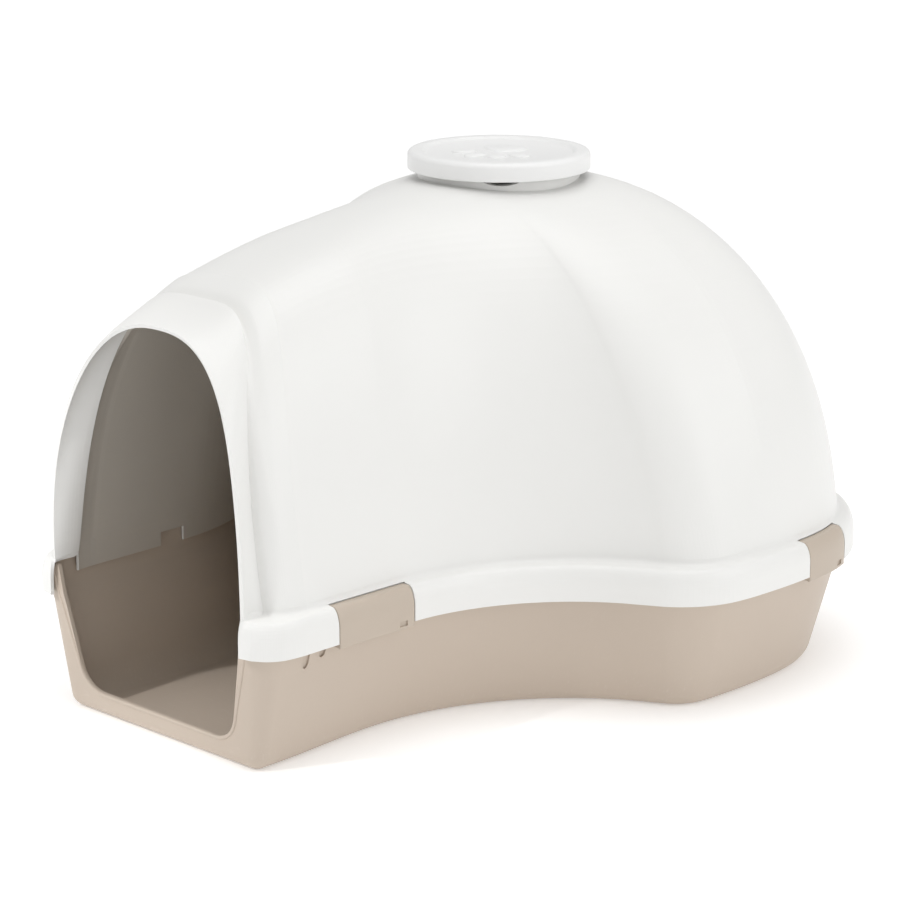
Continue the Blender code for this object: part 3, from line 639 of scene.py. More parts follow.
def hoodShell():
    rows = hoodRows()
    visorFlare(rows)
    form = bmesh.new()
    for side in (1.0, -1.0):
        grid = [[form.verts.new((point.x * side, point.y, point.z)) for point in row] for row in rows]
        for row, following in zip(grid, grid[1:]):
            for corner in range(len(row) - 1):
                form.faces.new((row[corner], row[corner + 1], following[corner + 1], following[corner]))
    bmesh.ops.remove_doubles(form, verts=form.verts, dist=0.00002)
    crown = [vert for vert in form.verts if vert.co.z > 0.3
             and Vector((vert.co.x - ventCentre[0], vert.co.y - ventCentre[1])).length < 0.048]
    bmesh.ops.delete(form, geom=crown, context="VERTS")        # opened early, where the vent hole will be
    bmesh.ops.recalc_face_normals(form, faces=form.faces)
    heart = Vector((0.0, 0.05, 0.18))
    outward = sum(face.calc_area() * face.normal.dot((face.calc_center_median() - heart).normalized())
                  for face in form.faces)
    if outward < 0.0:
        bmesh.ops.reverse_faces(form, faces=form.faces)
    made = pieceFrom("igloo_hood", form)
    wall = made.modifiers.new("wall", "SOLIDIFY")
    wall.thickness = hood["wall"]
    wall.offset = -1.0
    wall.use_even_offset = True
    wall.use_quality_normals = True
    wall.bevel_convex = 1.0
    lips = made.modifiers.new("lips", "BEVEL")
    lips.width = hood["lipRounding"]
    lips.segments = 3
    lips.limit_method = "WEIGHT"
    takeEvaluated(made)
    return made


def skirtForm():
    # thin band that hangs from the wall into the tub
    first = cornerLast - 1
    table = []
    for index in range(len(rimLine.points)):
        foot = hoodFoot(index) if index > 1 else hoodFoot(2)
        inward = leftOf(rimLine.headings[index])
        inner = foot + inward * (hood["wall"] - 0.0002)
        table.append((foot.x, foot.y, inner.x, inner.y))
    table = np.array(table, float)
    right = []
    for index in range(first, len(table) - 1):
        for step in range(4):
            right.append(finer(table, index, step / 4))
    right.append(table[-1])
    left = [row * np.array((-1.0, 1.0, -1.0, 1.0)) for row in reversed(right[:-1])]
    low = rim["top"] - hood["skirtDepth"]
    high = rim["top"] + 0.005
    loops = []
    for outX, outY, inX, inY in right + left:
        outer = Vector((outX, outY))
        inner = Vector((inX, inY))
        loop = [Vector((*outer.lerp(inner, 0.05), high)), Vector((*outer.lerp(inner, 0.05), low + 0.0008))]
        for step in range(1, 4):
            turn = pi * step / 4
            place = outer.lerp(inner, 0.5 - 0.45 * cos(turn))
            loop.append(Vector((*place, low + 0.0008 - 0.0008 * sin(turn))))
        loop += [Vector((*outer.lerp(inner, 0.95), low + 0.0008)), Vector((*outer.lerp(inner, 0.95), high))]
        loops.append(loop)
    return loftForm(loops)


skirtNotch = {"length": 0.023, "height": 0.011, "fromFront": 0.129}

collar = {"radius": 0.062, "wall": 0.0025, "top": 0.3796, "foot": 0.345, "dips": 4, "dipHalfWidth": 0.020,
          "dipHeight": 0.009, "dipDepth": 0.008, "dipMiddle": 0.3736}


def collarForm():
    outer = collar["radius"]
    inner = outer - collar["wall"]
    corners = [(outer, collar["foot"]), (outer, collar["top"]), (inner, collar["top"]), (inner, collar["foot"])]
    return turnedForm(roundedProfile(corners, (0.0, 0.0009, 0.0009, 0.0), 3), ventCentre, 128)


def dipForm(turn):
    form = bmesh.new()
    bmesh.ops.create_uvsphere(form, u_segments=32, v_segments=20, radius=1.0)
    size = Matrix.Diagonal((collar["dipDepth"], collar["dipHalfWidth"], collar["dipHeight"], 1.0))
    place = Matrix.Translation((ventCentre[0] + collar["radius"] * cos(turn),
                                ventCentre[1] + collar["radius"] * sin(turn), collar["dipMiddle"]))
    bmesh.ops.transform(form, matrix=place @ Matrix.Rotation(turn, 4, "Z") @ size, verts=form.verts)
    return form


def markPaintedShade(piece):
    # one value per face: 1 on the inner side behind the crease, which gets painted shade, a darker and warmer
    # colour standing in for the shadow inside the hood
    mesh = piece.data
    shadeMarks = mesh.attributes.new("inner", "FLOAT", "FACE")
    values = []
    for face in mesh.polygons:
        spine = Vector((0.0, min(max(face.center.y, front + 0.05), domeY), 0.12))
        up = max(face.center.z - rim["top"], 0.0) / (hood["creaseTop"] - rim["top"])
        crease = front + hood["visorDepth"] + hood["lean"] * up ** 3
        behind = face.center.y > crease + (0.0 if up > 0.0 else 0.008)
        facing = face.normal.dot((spine - face.center).normalized()) > 0.35
        values.append(1.0 if behind and facing else 0.0)
    shadeMarks.data.foreach_set("value", values)


def makeHood(finish, places):
    made = hoodShell()
    middle = collar["radius"] - collar["wall"] / 2.0
    hole = ((0.0, collar["foot"] - 0.01), (middle, collar["foot"] - 0.01), (middle, 0.40), (0.0, 0.40))
    joinInto(made, [pieceFrom("hole", turnedForm(hole, ventCentre, 96))], "DIFFERENCE")
    joinInto(made, [pieceFrom("skirt", skirtForm()), pieceFrom("collar", collarForm())], "UNION")
    cutters = []
    for number in range(collar["dips"]):
        cutters.append(pieceFrom("dip", dipForm(2.0 * pi * (number + 0.5) / collar["dips"])))
    for side in (1.0, -1.0):
        x = side * (rim["tunnelHalfWidth"] - rim["ledge"] - hood["wall"] / 2.0)
        low = rim["top"] - hood["skirtDepth"] - 0.001
        y = front + skirtNotch["fromFront"]
        half = skirtNotch["length"] / 2.0
        cutters.append(pieceFrom("gap", blockForm((x - 0.007, y - half, low),
                                                  (x + 0.007, y + half, low + skirtNotch["height"] + 0.001))))
        for place in places:
            cutters.append(pieceFrom("notch", latchNotchForm(place, side)))
    joinInto(made, cutters, "DIFFERENCE")
    settled(made, finish)
    markPaintedShade(made)
    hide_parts("hood")
    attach(made, "hood")
    return made


# ---- vent grille under the cap

grille = {"pitch": 0.0125, "slot": 0.006, "field": 0.048, "bars": 10, "thickness": 0.0024, "level": 0.3618}


def openTree(name, countName, floatNames):
    # a geometry tree with one whole number, some lengths and a finish as its inputs
    tree = bpy.data.node_groups.new(name, "GeometryNodeTree")
    kinds = [(countName, "Int")] + [(each, "Float") for each in floatNames] + [("Finish", "Material")]
    for label, kind in kinds:
        tree.interface.new_socket(label, in_out="INPUT", socket_type="NodeSocket" + kind)
    tree.interface.new_socket("Geometry", in_out="OUTPUT", socket_type="NodeSocketGeometry")
    graph = Graph(tree)
    entry = tree.nodes.new("NodeGroupInput")
    return graph, {socket.name: Wire(graph, socket) for socket in entry.outputs if socket.name}


def closeTree(graph, placed, finish):
    real = graph.node("GeometryNodeRealizeInstances", {}, {0: placed})
    finished = graph.node("GeometryNodeSetMaterial", {}, {"Geometry": real, "Material": finish})
    end = graph.tree.nodes.new("NodeGroupOutput")
    graph.tree.links.new(finished.socket, end.inputs[0])
    return graph.tree


def grilleTree():
    # a row of bars, each as long as the round field is there
    graph, given = openTree("ventBars", "Bars", ("Pitch", "Bar Width", "Thickness", "Field Radius"))
    half = (given["Bars"] - 1.0) * given["Pitch"] * 0.5
    start = graph.node("ShaderNodeCombineXYZ", {}, {0: half * -1.0})
    stride = graph.node("ShaderNodeCombineXYZ", {}, {0: given["Pitch"]})
    line = graph.node("GeometryNodeMeshLine", {}, {"Count": given["Bars"], "Start Location": start,
                                                   "Offset": stride})
    size = graph.node("ShaderNodeCombineXYZ", {}, {0: given["Bar Width"], 1: 1.0, 2: given["Thickness"]})
    bar = graph.node("GeometryNodeMeshCube", {}, {"Size": size, "Vertices X": 3, "Vertices Y": 12,
                                                  "Vertices Z": 3})
    across = graph.node("ShaderNodeSeparateXYZ", {}, {0: graph.node("GeometryNodeInputPosition")})
    room = given["Field Radius"] * given["Field Radius"] - across * across
    chord = graph.maths("SQRT", graph.maths("MAXIMUM", room, 0.000001)) * 2.0
    stretch = graph.node("ShaderNodeCombineXYZ", {}, {0: 1.0, 1: chord, 2: 1.0})
    placed = graph.node("GeometryNodeInstanceOnPoints", {}, {"Points": line, "Instance": bar, "Scale": stretch})
    return closeTree(graph, placed, given["Finish"])


def fromTree(name, tree, values):
    # runs a geometry tree and keeps its result as a plain mesh
    made = pieceFrom(name, bmesh.new())
    step = made.modifiers.new("shape", "NODES")
    step.node_group = tree
    for item in tree.interface.items_tree:
        if item.item_type == "SOCKET" and item.in_out == "INPUT":
            step[item.identifier] = values[item.name]
    takeEvaluated(made)
    return made


def makeGrille(finish):
    ring = grille["field"] - 0.0015
    bars = fromTree("vent_grille", grilleTree(), {
        "Bars": grille["bars"], "Pitch": grille["pitch"], "Bar Width": grille["pitch"] - grille["slot"],
        "Thickness": grille["thickness"], "Field Radius": ring + 0.004, "Finish": finish})
    bars.data.transform(Matrix.Translation((ventCentre[0], ventCentre[1], grille["level"])))
    inner = collar["radius"] - collar["wall"] / 2.0
    low = grille["level"] - grille["thickness"] / 2.0
    high = grille["level"] + grille["thickness"] / 2.0
    corners = [(inner, low), (inner, high), (ring, high), (ring, low)]
    ringForm = turnedForm(roundedProfile(corners, (0.0, 0.0, 0.0007, 0.0007), 3), ventCentre, 96)
    joinInto(bars, [pieceFrom("ring", ringForm)], "UNION")
    settled(bars, finish)
    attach(bars, "hood")
    return bars


# ---- tub

tub = {"wall": 0.0028, "inset": 0.0085, "footInset": 0.033, "frontInset": 0.006, "frontLean": 0.008,
       "cornerLoss": 0.010, "floor": 0.0030, "coveHeight": 0.020, "coveSpread": 0.011, "footRounding": 0.009,
       "neck": 0.004, "neckHeight": 0.006, "neckShare": 0.10, "frontFootGain": 0.006}

mouth = {"lipHeight": 0.019, "lipHalfWidth": 0.070, "halfWidth": 0.098, "cornerRadius": 0.022, "pull": 0.4,
         "beadThickness": 0.0046, "beadWidth": 0.0030}

tubSlots = {"width": 0.0062, "top": 0.0925, "depth": 0.0012, "fromFront": (0.047, 0.062),
            "bottoms": (0.0725, 0.0775)}


def tubInset(index, share):
    foot = tub["footInset"] - tub["frontFootGain"] * (1.0 - smoothStep(index, cornerLast, tunnelLast))
    return tub["inset"] + (foot - tub["inset"]) * share


def tubLoop(share, thickness):
    # plan of the tub at one level, fine enough to look smooth
    side = rimLine.points[cornerLast].x - tubInset(cornerLast, share) - thickness
    frontY = front + tub["frontInset"] + tub["frontLean"] * share + thickness
    radius = rim["frontCornerRadius"] - tub["inset"] - tub["cornerLoss"] * share - thickness
    radius = max(radius, 0.0015)
    right = []
    for step in range(13):
        turn = radians(90) * step / 12
        right.append(Vector((side - radius + radius * sin(turn), frontY + radius - radius * cos(turn))))
    table = []
    for index in range(cornerLast, len(rimLine.points)):
        point = rimLine.points[index] + leftOf(rimLine.headings[index]) * (tubInset(index, share) + thickness)
        table.append((point.x, point.y))
    table[0] = tuple(right[-1])
    table = np.array(table, float)
    for index in range(len(table) - 1):
        for step in range(1, 5):
            right.append(Vector(finer(table, index, step / 4)))
    left = [Vector((-point.x, point.y)) for point in reversed(right[:-1])]
    return right + left


def tubForm():
    straight = rim["bottom"] - tub["neck"]
    neckStart = straight - 0.003
    neckRise = tub["neckHeight"] + 0.004
    levels = []

    def shareAt(z):
        return 1.0 - (1.0 - tub["neckShare"]) * z / straight

    for step in range(8):
        turn = radians(90) * step / 7
        z = tub["footRounding"] * (1.0 - cos(turn))
        levels.append((shareAt(z), tub["footRounding"] * (1.0 - sin(turn)), z))
    for step in range(1, 7):
        z = tub["footRounding"] + (neckStart - tub["footRounding"]) * step / 6
        levels.append((shareAt(z), 0.0, z))
    for step in range(1, 6):
        t = smoothStep(step, 0, 5)
        levels.append((tub["neckShare"] * (1.0 - t), 0.0, neckStart + neckRise * step / 5))
    edge = tub["wall"] / 2.0
    for step in range(9):
        turn = pi * step / 8
        levels.append((0.0, edge - edge * cos(turn), tubTop - edge + edge * sin(turn)))
    for step in range(5):
        t = smoothStep(step, 0, 5)
        levels.append((tub["neckShare"] * t, tub["wall"], neckStart + neckRise * (1.0 - step / 5)))
    rise = tub["floor"] + tub["coveHeight"]
    for step in range(6):
        z = neckStart + (rise - neckStart) * step / 5
        levels.append((shareAt(z), tub["wall"], z))
    for step in range(1, 9):
        turn = radians(90) * step / 8
        z = rise - tub["coveHeight"] * (0.72 * sin(turn) + 0.28 * step / 8)
        spread = tub["coveSpread"] * (0.62 * (1.0 - cos(turn)) + 0.38 * step / 8)
        levels.append((shareAt(max(z, 0.0)), tub["wall"] + spread, z))
    loops = [[Vector((point.x, point.y, z)) for point in tubLoop(share, inset)] for share, inset, z in levels]
    return loftForm(loops)


def mouthOutline(grow=0.0):
    # right half of the way in through the front wall, from the middle of the lip upwards
    radius = mouth["cornerRadius"]
    lean = (mouth["halfWidth"] - mouth["lipHalfWidth"]) / (tubTop - mouth["lipHeight"])
    outline = []
    for step in range(13):
        turn = radians(-90) + (radians(90) - lean) * step / 12
        outline.append(Vector((mouth["lipHalfWidth"] - radius * mouth["pull"] + (radius + grow) * cos(turn),
                               mouth["lipHeight"] + radius + (radius + grow) * sin(turn))))
    return outline, lean


def mouthForm():
    outline, lean = mouthOutline()
    outline.append(Vector((mouth["halfWidth"] + 0.01 * lean, tubTop + 0.01)))
    outline += [Vector((-point.x, point.y)) for point in reversed(outline)]
    loops = [[Vector((point.x, y, point.y)) for point in outline] for y in (front - 0.010, front + 0.030)]
    return loftForm(loops)


def mouthBeadForm():
    # rolled edge round the way in: a rounded strip along the outline, leaning with the front wall
    outline, lean = mouthOutline(mouth["beadWidth"] / 2.0 - 0.0002)
    last = outline[-1]
    rise = tubTop - 0.001 - last.y
    for step in range(1, 9):
        outline.append(last + Vector((rise * lean, rise)) * step / 8)
    path = [Vector((-point.x, point.y)) for point in reversed(outline)] + outline
    straight = rim["bottom"] - tub["neck"]
    loops = []
    for number, point in enumerate(path):
        before = path[max(number - 1, 0)]
        after = path[min(number + 1, len(path) - 1)]
        along = (after - before).normalized()
        normal = Vector((along.y, -along.x))
        share = max(0.0, 1.0 - (1.0 - tub["neckShare"]) * point.y / straight) if point.y < straight else 0.0
        wallY = front + tub["frontInset"] + tub["frontLean"] * share + tub["wall"] / 2.0
        loop = []
        for step in range(16):
            turn = 2.0 * pi * step / 16
            a = abs(cos(turn)) ** 0.6 * (1 if cos(turn) > 0 else -1) * mouth["beadThickness"] / 2.0
            b = abs(sin(turn)) ** 0.6 * (1 if sin(turn) > 0 else -1) * mouth["beadWidth"] / 2.0
            place = point + normal * b
            loop.append(Vector((place.x, wallY + a, place.y)))
        loops.append(loop)
    return loftForm(loops)


def slotForm(side, fromFront, bottom):
    half = tubSlots["width"] / 2.0
    column = rimLine.points[cornerLast].x
    face = column - tubInset(cornerLast, 0.0)
    straight = rim["bottom"] - tub["neck"]
    lowFace = column - tubInset(cornerLast, 1.0 - (1.0 - tub["neckShare"]) * bottom / straight)
    height = tubSlots["top"] - bottom
    loops = []
    for depth in (0.0, 1.0):
        loop = []
        for step in range(16):
            turn = 2.0 * pi * step / 16
            y = front + fromFront + half * max(-1.0, min(1.0, 1.25 * cos(turn)))
            up = 0.5 + 0.5 * sin(turn)
            z = bottom + height * up
            x = lowFace + (face - lowFace) * up - tubSlots["depth"] if depth == 0.0 else face + 0.01
            loop.append(Vector((side * x, y, z)))
        loops.append(loop)
    return loftForm(loops)


def makeTub(finish, places):
    made = pieceFrom("litter_tub", tubForm())
    joinInto(made, [pieceFrom("mouth", mouthForm())], "DIFFERENCE")
    extras = [pieceFrom("bead", mouthBeadForm())]
    for side in (1.0, -1.0):
        for place in places:
            for sign in (-1.0, 1.0):
                extras.append(pieceFrom("lug", lugForm(place, side, sign)))
    joinInto(made, extras, "UNION")
    cutters = []
    for side in (1.0, -1.0):
        for fromFront, bottom in zip(tubSlots["fromFront"], tubSlots["bottoms"]):
            cutters.append(pieceFrom("slot", slotForm(side, fromFront, bottom)))
        for place in places:
            for sign in (-1.0, 1.0):
                cutters.append(pieceFrom("pinHole", pinForm(place, side, sign, 0.0015, place.earAt - 0.003,
                                                            place.earAt + 0.003)))
    joinInto(made, cutters, "DIFFERENCE")
    settled(made, finish)
    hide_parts("tub")
    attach(made, "tub")
    return made


# ---- latches

latch = {"frontLength": 0.073, "rearLength": 0.056, "frontPlace": 0.1045, "rearPlace": 0.105, "wall": 0.0026,
         "endGap": 0.0008, "overhang": 0.004, "lipGap": 0.0008, "cheek": 0.002, "cheekRadius": 0.0022,
         "cheekHeight": 0.008, "cheekShoulder": 0.003, "pinRadius": 0.0012, "pinDrop": 0.0012,
         "pinReach": 0.0028, "earThickness": 0.003, "earRadius": 0.0027, "slack": 0.0010,
         "rows": 24, "endRounding": 0.0006}


class LatchPlace:
    # where a latch sits on the right side: its middle, the way along the rim and the way out
    def __init__(self, name, y, first, length):
        self.name = name
        self.length = length
        for index in range(first, len(rimLine.points) - 1):
            before = rimLine.points[index]
            after = rimLine.points[index + 1]
            if before.y <= y < after.y:
                share = (y - before.y) / (after.y - before.y)
                self.middle = before.lerp(after, share)
                heading = rimLine.headings[index] * (1.0 - share) + rimLine.headings[index + 1] * share
                break
        self.along = headingVector(heading)
        self.outward = -leftOf(heading)
        span = range(max(first - 2, cornerLast), len(rimLine.points))
        self.rim = self.fineLine([rimLine.points[index] for index in span])
        self.feet = self.fineLine([hoodFoot(index) for index in span])
        rough = [rimLine.points[index] for index in span]
        cheekEnd = length / 2.0 - latch["endGap"] - latch["cheek"]
        self.earAt = cheekEnd - latch["slack"] / 2.0 - latch["earThickness"] / 2.0
        face = min(self.reach(rough, at) for at in (self.earAt, -self.earAt)) - tub["inset"]
        self.pin = face + latch["pinReach"]
        self.pinZ = rim["bottom"] - latch["pinDrop"]

    def fineLine(self, points):
        table = np.array([(point.x, point.y) for point in points], float)
        fine = []
        for index in range(len(table) - 1):
            for step in range(6):
                fine.append(Vector(finer(table, index, step / 6)))
        fine.append(points[-1])
        return fine

    def reach(self, line, at):
        for before, after in zip(line, line[1:]):
            low = (before - self.middle).dot(self.along)
            high = (after - self.middle).dot(self.along)
            if low <= at <= high:
                point = before.lerp(after, (at - low) / (high - low))
                return (point - self.middle).dot(self.outward)
        raise ValueError(self.name)

    def place(self, at, out, z):
        point = self.middle + self.along * at + self.outward * out
        return Vector((point.x, point.y, z))


def latchPlaces():
    return (LatchPlace("front", front + latch["frontPlace"], cornerLast, latch["frontLength"]),
            LatchPlace("rear", widestY + latch["rearPlace"], flareLast, latch["rearLength"]))


def latchSection(place, at, shrink):
    # closed outline of the latch's skin, with rounded ends; shrink pulls it in all round
    edge = Vector((place.reach(place.rim, at), 0.0))
    foot = Vector((place.reach(place.feet, at), 0.0))
    height = rim["top"] - rim["bottom"]
    rounding = rim["rounding"] / (foot - edge).length
    line = [Vector((edge.x, rim["bottom"] - latch["overhang"])), Vector((edge.x, rim["bottom"] + height * 0.2))]
    for step in range(11):
        turn = radians(90) * step / 10
        line.append(Vector((edge.lerp(foot, rounding * (1.0 - cos(turn))).x,
                            rim["bottom"] + height * (0.42 + 0.57 * sin(turn)))))
    line.append(Vector((foot.x + latch["lipGap"], rim["top"] - 0.0003)))
    half = latch["wall"] / 2.0
    centre = []
    normals = []
    for number, point in enumerate(line):
        along = line[min(number + 1, len(line) - 1)] - line[max(number - 1, 0)]
        normal = Vector((along.y, -along.x)).normalized()
        centre.append(point - normal * half)
        normals.append(normal)
    thick = half - shrink
    first = (line[1] - line[0]).normalized()
    last = (line[-1] - line[-2]).normalized()
    outline = [spot + normal * thick for spot, normal in zip(centre, normals)]
    outline[0] = outline[0] + first * thick * 0.6
    outline[-1] = outline[-1] - last * thick * 0.6
    end = centre[-1] - last * thick
    for step in range(1, 6):
        turn = pi * step / 6
        outline.append(end + normals[-1] * thick * cos(turn) + last * thick * sin(turn))
    inner = [spot - normal * thick for spot, normal in zip(centre, normals)]
    inner[0] = inner[0] + first * thick * 0.6
    inner[-1] = inner[-1] - last * thick * 0.6
    outline += inner[::-1]
    start = centre[0] + first * thick
    for step in range(1, 6):
        turn = pi * step / 6
        outline.append(start - normals[0] * thick * cos(turn) - first * thick * sin(turn))
    return outline


def pinForm(place, side, sign, radius, near, far):
    loops = []
    for at in (near, far):
        loop = []
        for step in range(24):
            turn = 2.0 * pi * step / 24
            loop.append(place.place(sign * at, place.pin + radius * cos(turn), place.pinZ + radius * sin(turn)))
        loops.append(loop)
    return loftForm(mirrored(loops, side))


def cheekForm(place, side, sign, near, far):
    loops = []
    for at in (near, far):
        edge = place.reach(place.rim, sign * at) - latch["wall"] / 2.0
        radius = latch["cheekRadius"]
        low = place.pinZ - radius
        high = rim["bottom"] + latch["cheekHeight"]
        corners = [(edge, low), (edge, high), (edge - latch["cheekShoulder"], high),
                   (place.pin - radius, place.pinZ + radius * 0.7)]
        for step in range(5):
            turn = pi + radians(90) * step / 4
            corners.append((place.pin + radius * cos(turn), place.pinZ + radius * sin(turn)))
        loops.append([place.place(sign * at, out, z) for out, z in corners])
    return loftForm(mirrored(loops, side))


def lugForm(place, side, sign):
    # lug on the tub wall that holds one of the latch's pins
    loops = []
    for at in (place.earAt - latch["earThickness"] / 2.0, place.earAt + latch["earThickness"] / 2.0):
        wall = place.reach(place.rim, sign * at) - tub["inset"] - tub["wall"] / 2.0
        lowWall = wall - (tub["footInset"] - tub["inset"]) * tub["neckShare"]
        loop = [place.place(sign * at, wall, place.pinZ + latch["earRadius"])]
        for step in range(17):
            turn = radians(90) - radians(180) * step / 16
            loop.append(place.place(sign * at, place.pin + latch["earRadius"] * cos(turn),
                                    place.pinZ + latch["earRadius"] * sin(turn)))
        loop.append(place.place(sign * at, lowWall, place.pinZ - latch["earRadius"]))
        loops.append(loop)
    return loftForm(mirrored(loops, side))


def latchNotchForm(place, side):
    half = place.length / 2.0
    loops = []
    for step in range(25):
        at = -half + 2.0 * half * step / 24
        foot = place.reach(place.feet, at) + 0.0003
        outside = place.reach(place.rim, at) + 0.01
        corners = ((foot, rim["bottom"] - 0.01), (outside, rim["bottom"] - 0.01),
                   (outside, rim["top"] + 0.01), (foot + 0.0045, rim["top"] + 0.0018),
                   (foot, rim["top"] + 0.0002))
        loops.append([place.place(at, out, z) for out, z in corners])
    return loftForm(mirrored(loops, side))


def latchRecessForm(place, side):
    # shallow pocket for a fingertip at the lower rear corner
    half = place.length / 2.0 - latch["endGap"]
    loops = []
    for at in (half - 0.0140, half - 0.0065):
        edge = place.reach(place.rim, at)
        low = rim["bottom"] - 0.0022
        corners = ((edge - 0.0012, low + 0.0008), (edge - 0.0012, low + 0.0042), (edge + 0.003, low + 0.0050),
                   (edge + 0.003, low))
        loops.append([place.place(at, out, z) for out, z in corners])
    return loftForm(mirrored(loops, side))


def makeLatch(place, side, finish):
    half = place.length / 2.0 - latch["endGap"]
    radius = latch["endRounding"]
    stops = [(-half + radius * (1.0 - cos(radians(30) * step)), radius * (1.0 - sin(radians(30) * step)))
             for step in range(4)]
    rows = latch["rows"]
    stops += [(-half + radius + 2.0 * (half - radius) * step / rows, 0.0) for step in range(1, rows)]
    stops += [(-at, shrink) for at, shrink in reversed(stops[:4])]
    loops = []
    for at, shrink in stops:
        loops.append([place.place(at, point.x, point.y) for point in latchSection(place, at, shrink)])
    name = "latch_clip_" + place.name + "_" + sideName(side)
    made = pieceFrom(name, loftForm(mirrored(loops, side)))
    extras = []
    for sign in (-1.0, 1.0):
        extras.append(pieceFrom("cheek", cheekForm(place, side, sign, half - latch["cheek"], half - 0.0004)))
    joinInto(made, extras, "UNION")
    pins = []
    for sign in (-1.0, 1.0):
        tip = place.earAt - latch["earThickness"] / 2.0 - latch["slack"] / 2.0
        pins.append(pieceFrom("pin", pinForm(place, side, sign, latch["pinRadius"], tip, half - 0.001)))
    joinInto(made, pins, "UNION")
    joinInto(made, [pieceFrom("recess", latchRecessForm(place, side))], "DIFFERENCE")
    settled(made, finish)
    node = "latch_" + place.name + "_" + sideName(side)
    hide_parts(node)
    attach(made, node)
    return made


# ---- vent cap

cap = {"radius": 0.070, "bottom": 0.3685, "height": 0.0140, "wall": 0.0026, "edge": 0.0042, "ringInner": 0.0575,
       "fieldDrop": 0.0020, "fieldWall": 0.0018, "spigotDepth": 0.0075, "spigotWall": 0.0018, "slack": 0.0010}

pawRelief = {"toes": 4, "toeRadius": 0.0072, "toeLength": 0.0098, "arcRadius": 0.0265, "spread": radians(118),
             "heelShift": -0.010, "turn": radians(200), "height": 0.0020}


def capProfile():
    top = cap["bottom"] + cap["height"]
    field = top - cap["fieldDrop"]
    under = top - cap["wall"]
    profile = [(0.0, field)]
    step = 0.0022
    for number in range(7):
        share = number / 6
        profile.append((cap["ringInner"] - step + 2.0 * step * share,
                        field + cap["fieldDrop"] * smoothStep(share, 0.0, 1.0)))
    flat = cap["radius"] - cap["edge"]
    for number in range(1, 11):
        turn = radians(90) * (1.0 - number / 10)
        profile.append((flat + cap["edge"] * cos(turn), top - cap["edge"] + cap["edge"] * sin(turn)))
    lip = 0.0008
    rimInside = cap["radius"] - cap["wall"]
    for number in range(5):
        turn = radians(-90) * number / 4
        profile.append((cap["radius"] - lip + lip * cos(turn), cap["bottom"] + lip + lip * sin(turn)))
    for number in range(5):
        turn = radians(-90) - radians(90) * number / 4
        profile.append((rimInside + lip + lip * cos(turn), cap["bottom"] + lip + lip * sin(turn)))
    spigot = collar["radius"] - collar["wall"] - cap["slack"]
    spigotInside = spigot - cap["spigotWall"]
    foot = under - cap["spigotDepth"]
    lead = 0.0006
    profile += [(rimInside, under), (spigot, under), (spigot, foot + lead), (spigot - lead, foot),
                (spigotInside, foot), (spigotInside, under - 0.0012), (0.0, field - cap["fieldWall"])]
    return profile


def toeTree():
    # toes of a plain paw, evenly spread on an arc and turned to face its middle
    lengths = ("Arc Radius", "Spread", "Toe Radius", "Toe Length", "Height")
    graph, given = openTree("pawToes", "Toes", lengths)
    number = graph.node("GeometryNodeInputIndex")
    last = given["Toes"] - 1.0
    angle = (number / last - 0.5) * given["Spread"]
    line = graph.node("GeometryNodeMeshLine", {}, {"Count": given["Toes"]})
    x = graph.maths("SINE", angle) * given["Arc Radius"]
    y = graph.maths("COSINE", angle) * given["Arc Radius"]
    place = graph.node("ShaderNodeCombineXYZ", {}, {0: x, 1: y})
    spots = graph.node("GeometryNodeSetPosition", {}, {"Geometry": line, "Position": place})
    ball = graph.node("GeometryNodeMeshUVSphere", {}, {"Segments": 40, "Rings": 20, "Radius": 1.0})
    facing = graph.node("ShaderNodeCombineXYZ", {}, {2: angle * -1.0})
    size = graph.node("ShaderNodeCombineXYZ", {}, {0: given["Toe Radius"], 1: given["Toe Length"],
                                                   2: given["Height"]})
    placed = graph.node("GeometryNodeInstanceOnPoints", {}, {"Points": spots, "Instance": ball,
                                                             "Rotation": facing, "Scale": size})
    return closeTree(graph, placed, given["Finish"])


def heelForm():
    # the paw's main pad, a soft rounded triangle swelling from its rim
    form = bmesh.new()
    rings = []
    for ring in range(1, 13):
        share = ring / 12
        loop = []
        for step in range(72):
            turn = 2.0 * pi * step / 72
            reach = 0.0138 * (1.0 + 0.10 * cos(3.0 * (turn - radians(90))) - 0.10 * sin(turn))
            rise = pawRelief["height"] * sqrt(max(0.0, 1.0 - share ** 2.6))
            loop.append(form.verts.new((1.22 * reach * share * cos(turn), reach * share * sin(turn), rise)))
        rings.append(loop)
    tip = form.verts.new((0.0, 0.0, pawRelief["height"]))
    base = form.verts.new((0.0, 0.0, -0.0006))
    for step in range(72):
        after = (step + 1) % 72
        form.faces.new((tip, rings[0][step], rings[0][after]))
        form.faces.new((base, rings[-1][after], rings[-1][step]))
        for inner, outer in zip(rings, rings[1:]):
            form.faces.new((inner[step], outer[step], outer[after], inner[after]))
    bmesh.ops.recalc_face_normals(form, faces=form.faces)
    return form


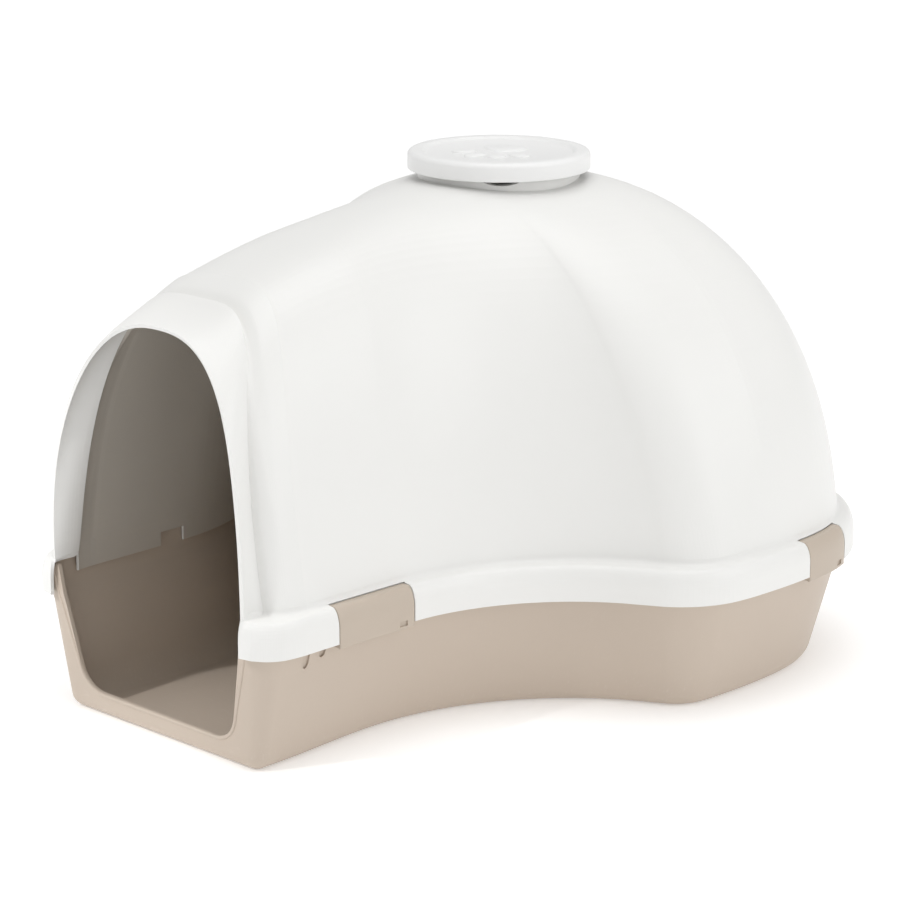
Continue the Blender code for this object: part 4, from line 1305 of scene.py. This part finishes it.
def makeCap(finish):
    made = pieceFrom("vent_cap_cover", turnedForm(capProfile(), ventCentre, 160))
    settled(made, finish, 50.0)
    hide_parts("vent_cap")
    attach(made, "vent_cap")
    field = cap["bottom"] + cap["height"] - cap["fieldDrop"]
    toes = fromTree("paw_toes", toeTree(), {
        "Toes": pawRelief["toes"], "Arc Radius": pawRelief["arcRadius"], "Spread": pawRelief["spread"],
        "Toe Radius": pawRelief["toeRadius"], "Toe Length": pawRelief["toeLength"],
        "Height": pawRelief["height"], "Finish": finish})
    heel = pieceFrom("paw_heel", heelForm())
    heel.data.transform(Matrix.Translation((0.0, pawRelief["heelShift"], 0.0)))
    for piece in (toes, heel):
        piece.data.transform(Matrix.Rotation(pawRelief["turn"], 4, "Z"))
        piece.data.transform(Matrix.Translation((ventCentre[0], ventCentre[1], field)))
        settled(piece, finish, 80.0)
        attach(piece, "vent_cap")


# ---- filter pad

pad = {"radius": 0.0545, "top": 0.3783, "thickness": 0.0031, "rounding": 0.0010, "fuzz": 0.00018}


def makePad(finish):
    low = pad["top"] - pad["thickness"]
    corners = [(pad["radius"], low), (pad["radius"], pad["top"])]
    profile = [(0.0, low)]
    for number in range(1, 22):
        profile.append((pad["radius"] * number / 22, low))
    outer = roundedProfile([(pad["radius"] * 0.9, low)] + corners + [(pad["radius"] * 0.9, pad["top"])],
                           (0.0, pad["rounding"], pad["rounding"], 0.0), 5)
    profile += outer[1:-1]
    for number in range(21, -1, -1):
        profile.append((pad["radius"] * number / 22, pad["top"]))
    form = turnedForm(profile, ventCentre, 96)
    rng = np.random.default_rng(7)
    waves = rng.uniform(-1.0, 1.0, (10, 3)) * 260.0
    shifts = rng.uniform(0.0, 6.28, 10)
    for vert in form.verts:
        rise = sum(sin(vert.co.x * a + vert.co.y * b + vert.co.z * c + shift)
                   for (a, b, c), shift in zip(waves, shifts)) / 10.0
        vert.co.z += rise * pad["fuzz"]
    made = pieceFrom("carbon_filter_pad", form)
    settled(made, finish, 80.0)
    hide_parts("filter_pad")
    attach(made, "vent_cap")


# ---- build

makeCamera()
makeLights()
makeFloor()
print("stage set")

hoodWhite = plasticFinish("hoodWhite")
capWhite = plasticFinish("capWhite")
tubTaupe = plasticFinish("tubTaupe")
latchTaupe = plasticFinish("latchTaupe")
carbonFelt = feltFinish()
places = latchPlaces()

makeHood(hoodWhite, places)
makeGrille(hoodWhite)
print("hood built")

makeTub(tubTaupe, places)
print("tub built")

for side in (1.0, -1.0):
    for place in places:
        makeLatch(place, side, latchTaupe)
print("latches built")

makeCap(capWhite)
makePad(carbonFelt)
print("vent cap and filter built")
